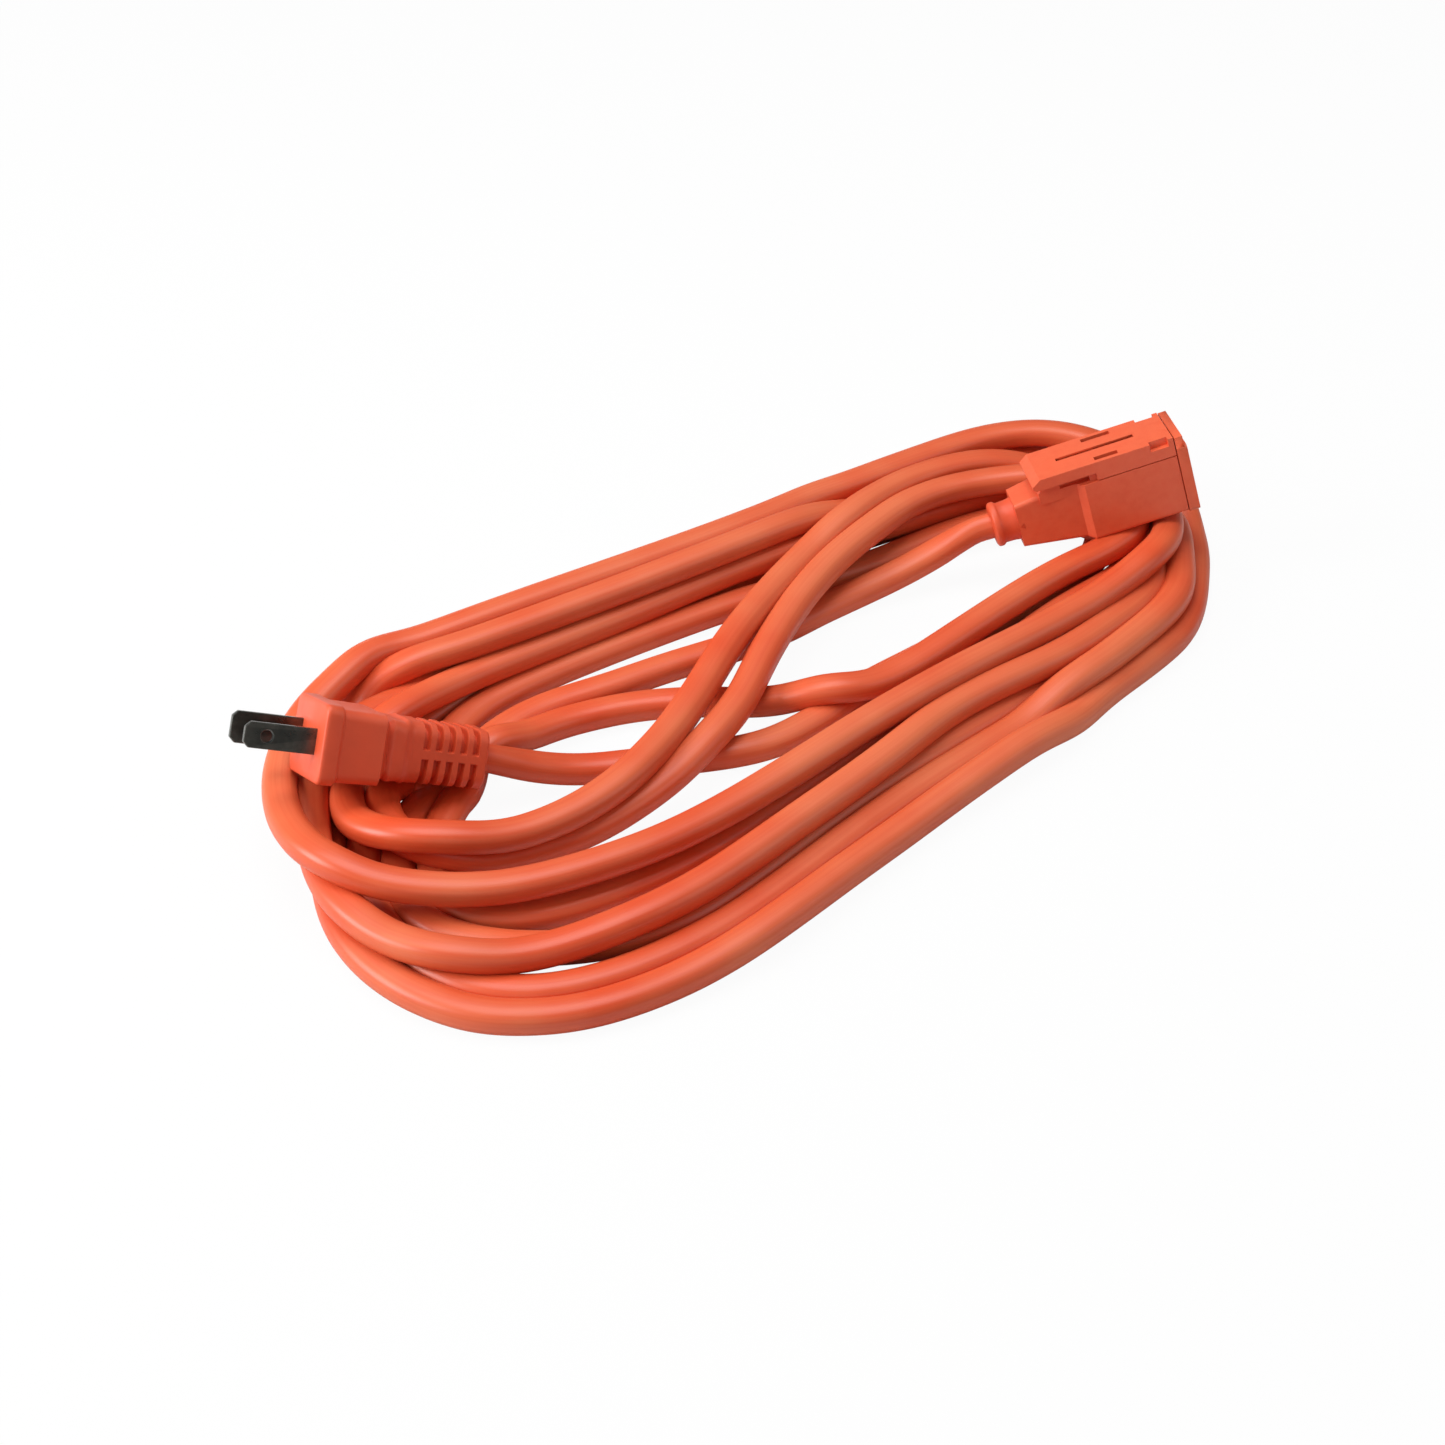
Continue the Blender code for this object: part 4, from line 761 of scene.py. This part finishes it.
def slotBoxes(lowZ, highZ):
    s = tapSizes
    boxes = []
    for side, width in ((-1, bladeSizes["live"]), (1, bladeSizes["neutral"])):
        y, half = side * bladeSizes["spacing"], width / 2 + 0.2
        boxes.append(((s["outlet"] - half, y - s["slotHalf"], lowZ), (s["outlet"] + half, y + s["slotHalf"], highZ)))
    return boxes


def makeTapBody():
    s = tapSizes
    start = -s["taper"]
    plain = [(x, softRing(halfY, halfZ, s["corner"], 1, 5)) for x, halfY, halfZ in (
        (start, s["collarY"] + 0.5, s["collarZ"] + 0.5), (-s["shoulder"], s["neckY"], s["neckZ"]),
        (0.0, s["halfY"], s["halfZ"]),
        (s["length"], s["halfY"], s["halfZ"]))]
    body = loftPiece("tapBlock", plain, tapMatrix, mouldedMat)
    padTop = s["lidBase"] - 0.35
    pad = [(s["padStart"], s["padLow"]), (s["padStart"] + 1.5, padTop), (0.5, padTop), (0.5, 5.0), (s["padStart"], 5.0)]
    combine(body, prismPiece("pad", pad, -s["padHalf"], s["padHalf"], tapMatrix), "UNION")
    recess = [((s["recessStart"], side * s["padHalf"] - 1.2, s["recessLow"]),
               (s["recessEnd"], side * s["padHalf"] + 1.2, 12.0))
              for side in (-1, 1)]
    combine(body, boxesPiece("recess", recess, tapMatrix), "DIFFERENCE")
    rebateY = s["halfY"] - s["skirt"] - 0.3
    rebateX = s["skirtStart"] - s["travel"] - 0.3
    out = s["halfY"] + 2
    cuts = [((rebateX, rebateY, s["skirtLow"] - 0.3), (s["length"] + 1, out, s["halfZ"] + 1)),
            ((rebateX, -out, s["skirtLow"] - 0.3), (s["length"] + 1, -rebateY, s["halfZ"] + 1))]
    combine(body, boxesPiece("rebates", cuts, tapMatrix), "DIFFERENCE")
    combine(body, boxesPiece("upperSlots", slotBoxes(s["halfZ"] - 6, s["halfZ"] + 1), tapMatrix), "DIFFERENCE")
    combine(body, boxesPiece("lowerSlots", slotBoxes(-s["halfZ"] - 1, -s["halfZ"] + 6), tapMatrix), "DIFFERENCE")
    ribs = [((s["ribStart"], -s["ribHalf"], s["halfZ"] - 3), (s["ribEnd"], s["ribHalf"], s["lidTop"] - 1.4)),
            ((s["ribStart"], -1.5, s["lidTop"] - 1.5), (s["ribEnd"], 1.5, s["lidTop"] - 0.9))]
    for k, rib in enumerate(ribs):
        combine(body, boxesPiece("rib" + str(k), [rib], tapMatrix), "UNION")
    crispEdges(body, 0.25)
    return body


def makeTapLid():
    s = tapSizes
    low, top, end = s["lidBase"], s["lidTop"], s["length"]
    outline = [(-s["overhang"], low + 0.8), (-s["overhang"] + 0.8, low), (end, low), (end, top),
               (-s["overhang"] + s["bevel"], top), (-s["overhang"], top - 0.7 * s["bevel"])]
    lid = prismPiece("outletLid", outline, -s["halfY"], s["halfY"], tapMatrix, coverMat)
    inside = s["halfY"] - s["skirt"]
    skirts = [((s["skirtStart"], inside, s["skirtLow"]), (end, s["halfY"], low + 1)),
              ((s["skirtStart"], -s["halfY"], s["skirtLow"]), (end, -inside, low + 1))]
    combine(lid, boxesPiece("skirts", skirts, tapMatrix), "UNION")
    half = s["slitWidth"] / 2
    headZ = top - 1.5
    cuts = [[((s["slitStart"], -half, low - 1), (s["slitEnd"], half, top + 1))],
            [((s["slitStart"], -half - 1.0, headZ - 0.3), (s["slitEnd"], half + 1.0, headZ + 1.0))],
            slotBoxes(low - 1, top + 1)]
    notchEnd = s["notchStart"] + s["notchLength"]
    notchY, out = s["halfY"] - s["notchWidth"], s["halfY"] + 1
    cuts.append([((s["notchStart"], notchY, top - s["notchDepth"]), (notchEnd, out, top + 1)),
                 ((s["notchStart"], -out, top - s["notchDepth"]), (notchEnd, -notchY, top + 1))])
    for k, boxes in enumerate(cuts):
        combine(lid, boxesPiece("cut" + str(k), boxes, tapMatrix), "DIFFERENCE")
    crispEdges(lid, 0.25)
    return lid


def makeEndCap():
    s = tapSizes
    x, thick = s["length"] + 0.3, s["cap"]
    rings = [(a, softRing(halfY, halfZ, s["corner"], 1, 5)) for a, halfY, halfZ in (
        (x, s["capY"], s["halfZ"] + 0.3), (x + thick, s["capY"], s["halfZ"] + 0.3))]
    cap = loftPiece("endCap", rings, tapMatrix, mouldedMat)
    browTop = (x + thick - 0.7, s["halfY"], s["lidTop"] - 0.3)
    brow = boxesPiece("brow", [((x, -s["halfY"], s["halfZ"] - 1), browTop)], tapMatrix)
    combine(cap, brow, "UNION")
    boxes = []
    for side, width in ((-1, bladeSizes["live"]), (1, bladeSizes["neutral"])):
        y, half = side * bladeSizes["spacing"], width / 2 + 0.2
        boxes.append(((x - 1, y - s["slotHalf"], -half), (x + thick + 1, y + s["slotHalf"], half)))
    combine(cap, boxesPiece("endSlots", boxes, tapMatrix), "DIFFERENCE")
    roundEdges(cap, 0.4, 3)
    return cap


def makeTapCollar():  # the round sleeve where the cord comes out, with a rim at its mouth
    s = tapSizes
    end, start = -s["taper"] - s["collar"], -s["taper"]
    table = [(end, 4.5), (end + 0.15, 5.5), (end + 0.5, 6.2), (end + 0.9, 6.4), (end + 1.9, 6.4), (end + 2.3, 6.15),
             (end + 2.7, 5.8), (start - 1.5, 5.9), (start - 0.5, 6.1), (start + 1.5, 6.3)]
    turns = [2 * math.pi * n / 40 for n in range(40)]
    rings = [(x, [(r * math.cos(a), r * math.sin(a)) for a in turns]) for x, r in table]
    return loftPiece("tapCollar", rings, tapMatrix, mouldedMat)


tapCollar = dressed(makeTapCollar(), "cord_set", "moulded_orange", "tap_body")
tapBody = dressed(makeTapBody(), "cord_set", "moulded_orange", "tap_body")
tapLid = dressed(makeTapLid(), "cover", "cover_orange", "outlet_cover")
endCap = dressed(makeEndCap(), "cord_set", "moulded_orange", "tap_end_cap")
print("tap ready")

# ---- the nodes that keep their CAD shape get the finish of their real material
nodeFinish = {"plug_insert": insertMat, "tap_inner_carrier": insertMat, "plug_wire_live": blackWireMat,
              "plug_wire_neutral": whiteWireMat, "tap_wire_live": blackWireMat, "tap_wire_neutral": whiteWireMat,
              "plug_conductor_live": copperMat, "plug_conductor_neutral": copperMat, "tap_conductor_live": copperMat,
              "tap_conductor_neutral": copperMat, "tap_contact_live": brassMat, "tap_contact_neutral": brassMat}
for name, mat in nodeFinish.items():
    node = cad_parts[name]
    for materialSlot in node.material_slots:
        materialSlot.material = mat

# ---- floor, backdrop and light
stageSetup = {"floorColour": (0.72, 0.72, 0.72), "cameraWhite": 0.95, "worldLevel": 0.15}
lights = {"top": {"at": (-0.12, 0.16, 0.90), "size": (0.7, 0.6), "power": 6.4},
          "left": {"at": (-0.85, -0.20, 0.46), "size": (0.5, 0.5), "power": 9.0},
          "right": {"at": (0.80, -0.10, 0.50), "size": (0.5, 0.6), "power": 1.3},
          "front": {"at": (0.0, -0.95, 0.55), "size": (0.8, 0.5), "power": 0.9}}


def makeFloor():
    shape = bmesh.new()
    bmesh.ops.create_grid(shape, x_segments=8, y_segments=8, size=3.0)
    mesh = bpy.data.meshes.new("studioFloor")
    shape.to_mesh(mesh)
    shape.free()
    mat = bpy.data.materials.new("studioWhite")
    mat.use_nodes = True
    tree = mat.node_tree
    shader = tree.nodes["Principled BSDF"]
    shader.inputs["Base Color"].default_value = (*stageSetup["floorColour"], 1)
    shader.inputs["Roughness"].default_value = 0.9
    shader.inputs["Specular IOR Level"].default_value = 0.1
    glow = tree.nodes.new("ShaderNodeEmission")
    glow.inputs["Color"].default_value = (1, 1, 1, 1)
    path = tree.nodes.new("ShaderNodeLightPath")
    mix = tree.nodes.new("ShaderNodeMixShader")
    whiteShare = mathNode(tree, "MULTIPLY", path.outputs["Is Camera Ray"], stageSetup["cameraWhite"])
    tree.links.new(whiteShare, mix.inputs[0])
    tree.links.new(shader.outputs[0], mix.inputs[1])
    tree.links.new(glow.outputs[0], mix.inputs[2])
    tree.links.new(mix.outputs[0], tree.nodes["Material Output"].inputs["Surface"])
    mesh.materials.append(mat)
    floor = bpy.data.objects.new("studioFloor", mesh)
    bpy.context.collection.objects.link(floor)


def makeWorld():
    world = bpy.data.worlds.new("studioWorld")
    bpy.context.scene.world = world
    world.use_nodes = True
    tree = world.node_tree
    back = tree.nodes["Background"]
    back.inputs["Color"].default_value = (1, 1, 1, 1)
    path = tree.nodes.new("ShaderNodeLightPath")
    seen = mathNode(tree, "ADD", path.outputs["Is Camera Ray"], path.outputs["Is Transmission Ray"])
    strength = remap(tree, seen, 0.0, 1.0, stageSetup["worldLevel"], 1.0)
    tree.links.new(strength, back.inputs["Strength"])


def makeLights():
    for name, values in lights.items():
        data = bpy.data.lights.new(name + "Softbox", "AREA")
        data.shape = "RECTANGLE"
        data.size, data.size_y = values["size"]
        data.energy = values["power"]
        lamp = bpy.data.objects.new(name + "Softbox", data)
        lamp.location = values["at"]
        lamp.rotation_mode = "QUATERNION"
        lamp.rotation_quaternion = (Vector((0, 0, 0.02)) - Vector(values["at"])).to_track_quat("-Z", "Y")
        bpy.context.collection.objects.link(lamp)


makeFloor()
makeWorld()
makeLights()
bpy.context.scene.view_settings.view_transform = "Standard"
print("studio ready")
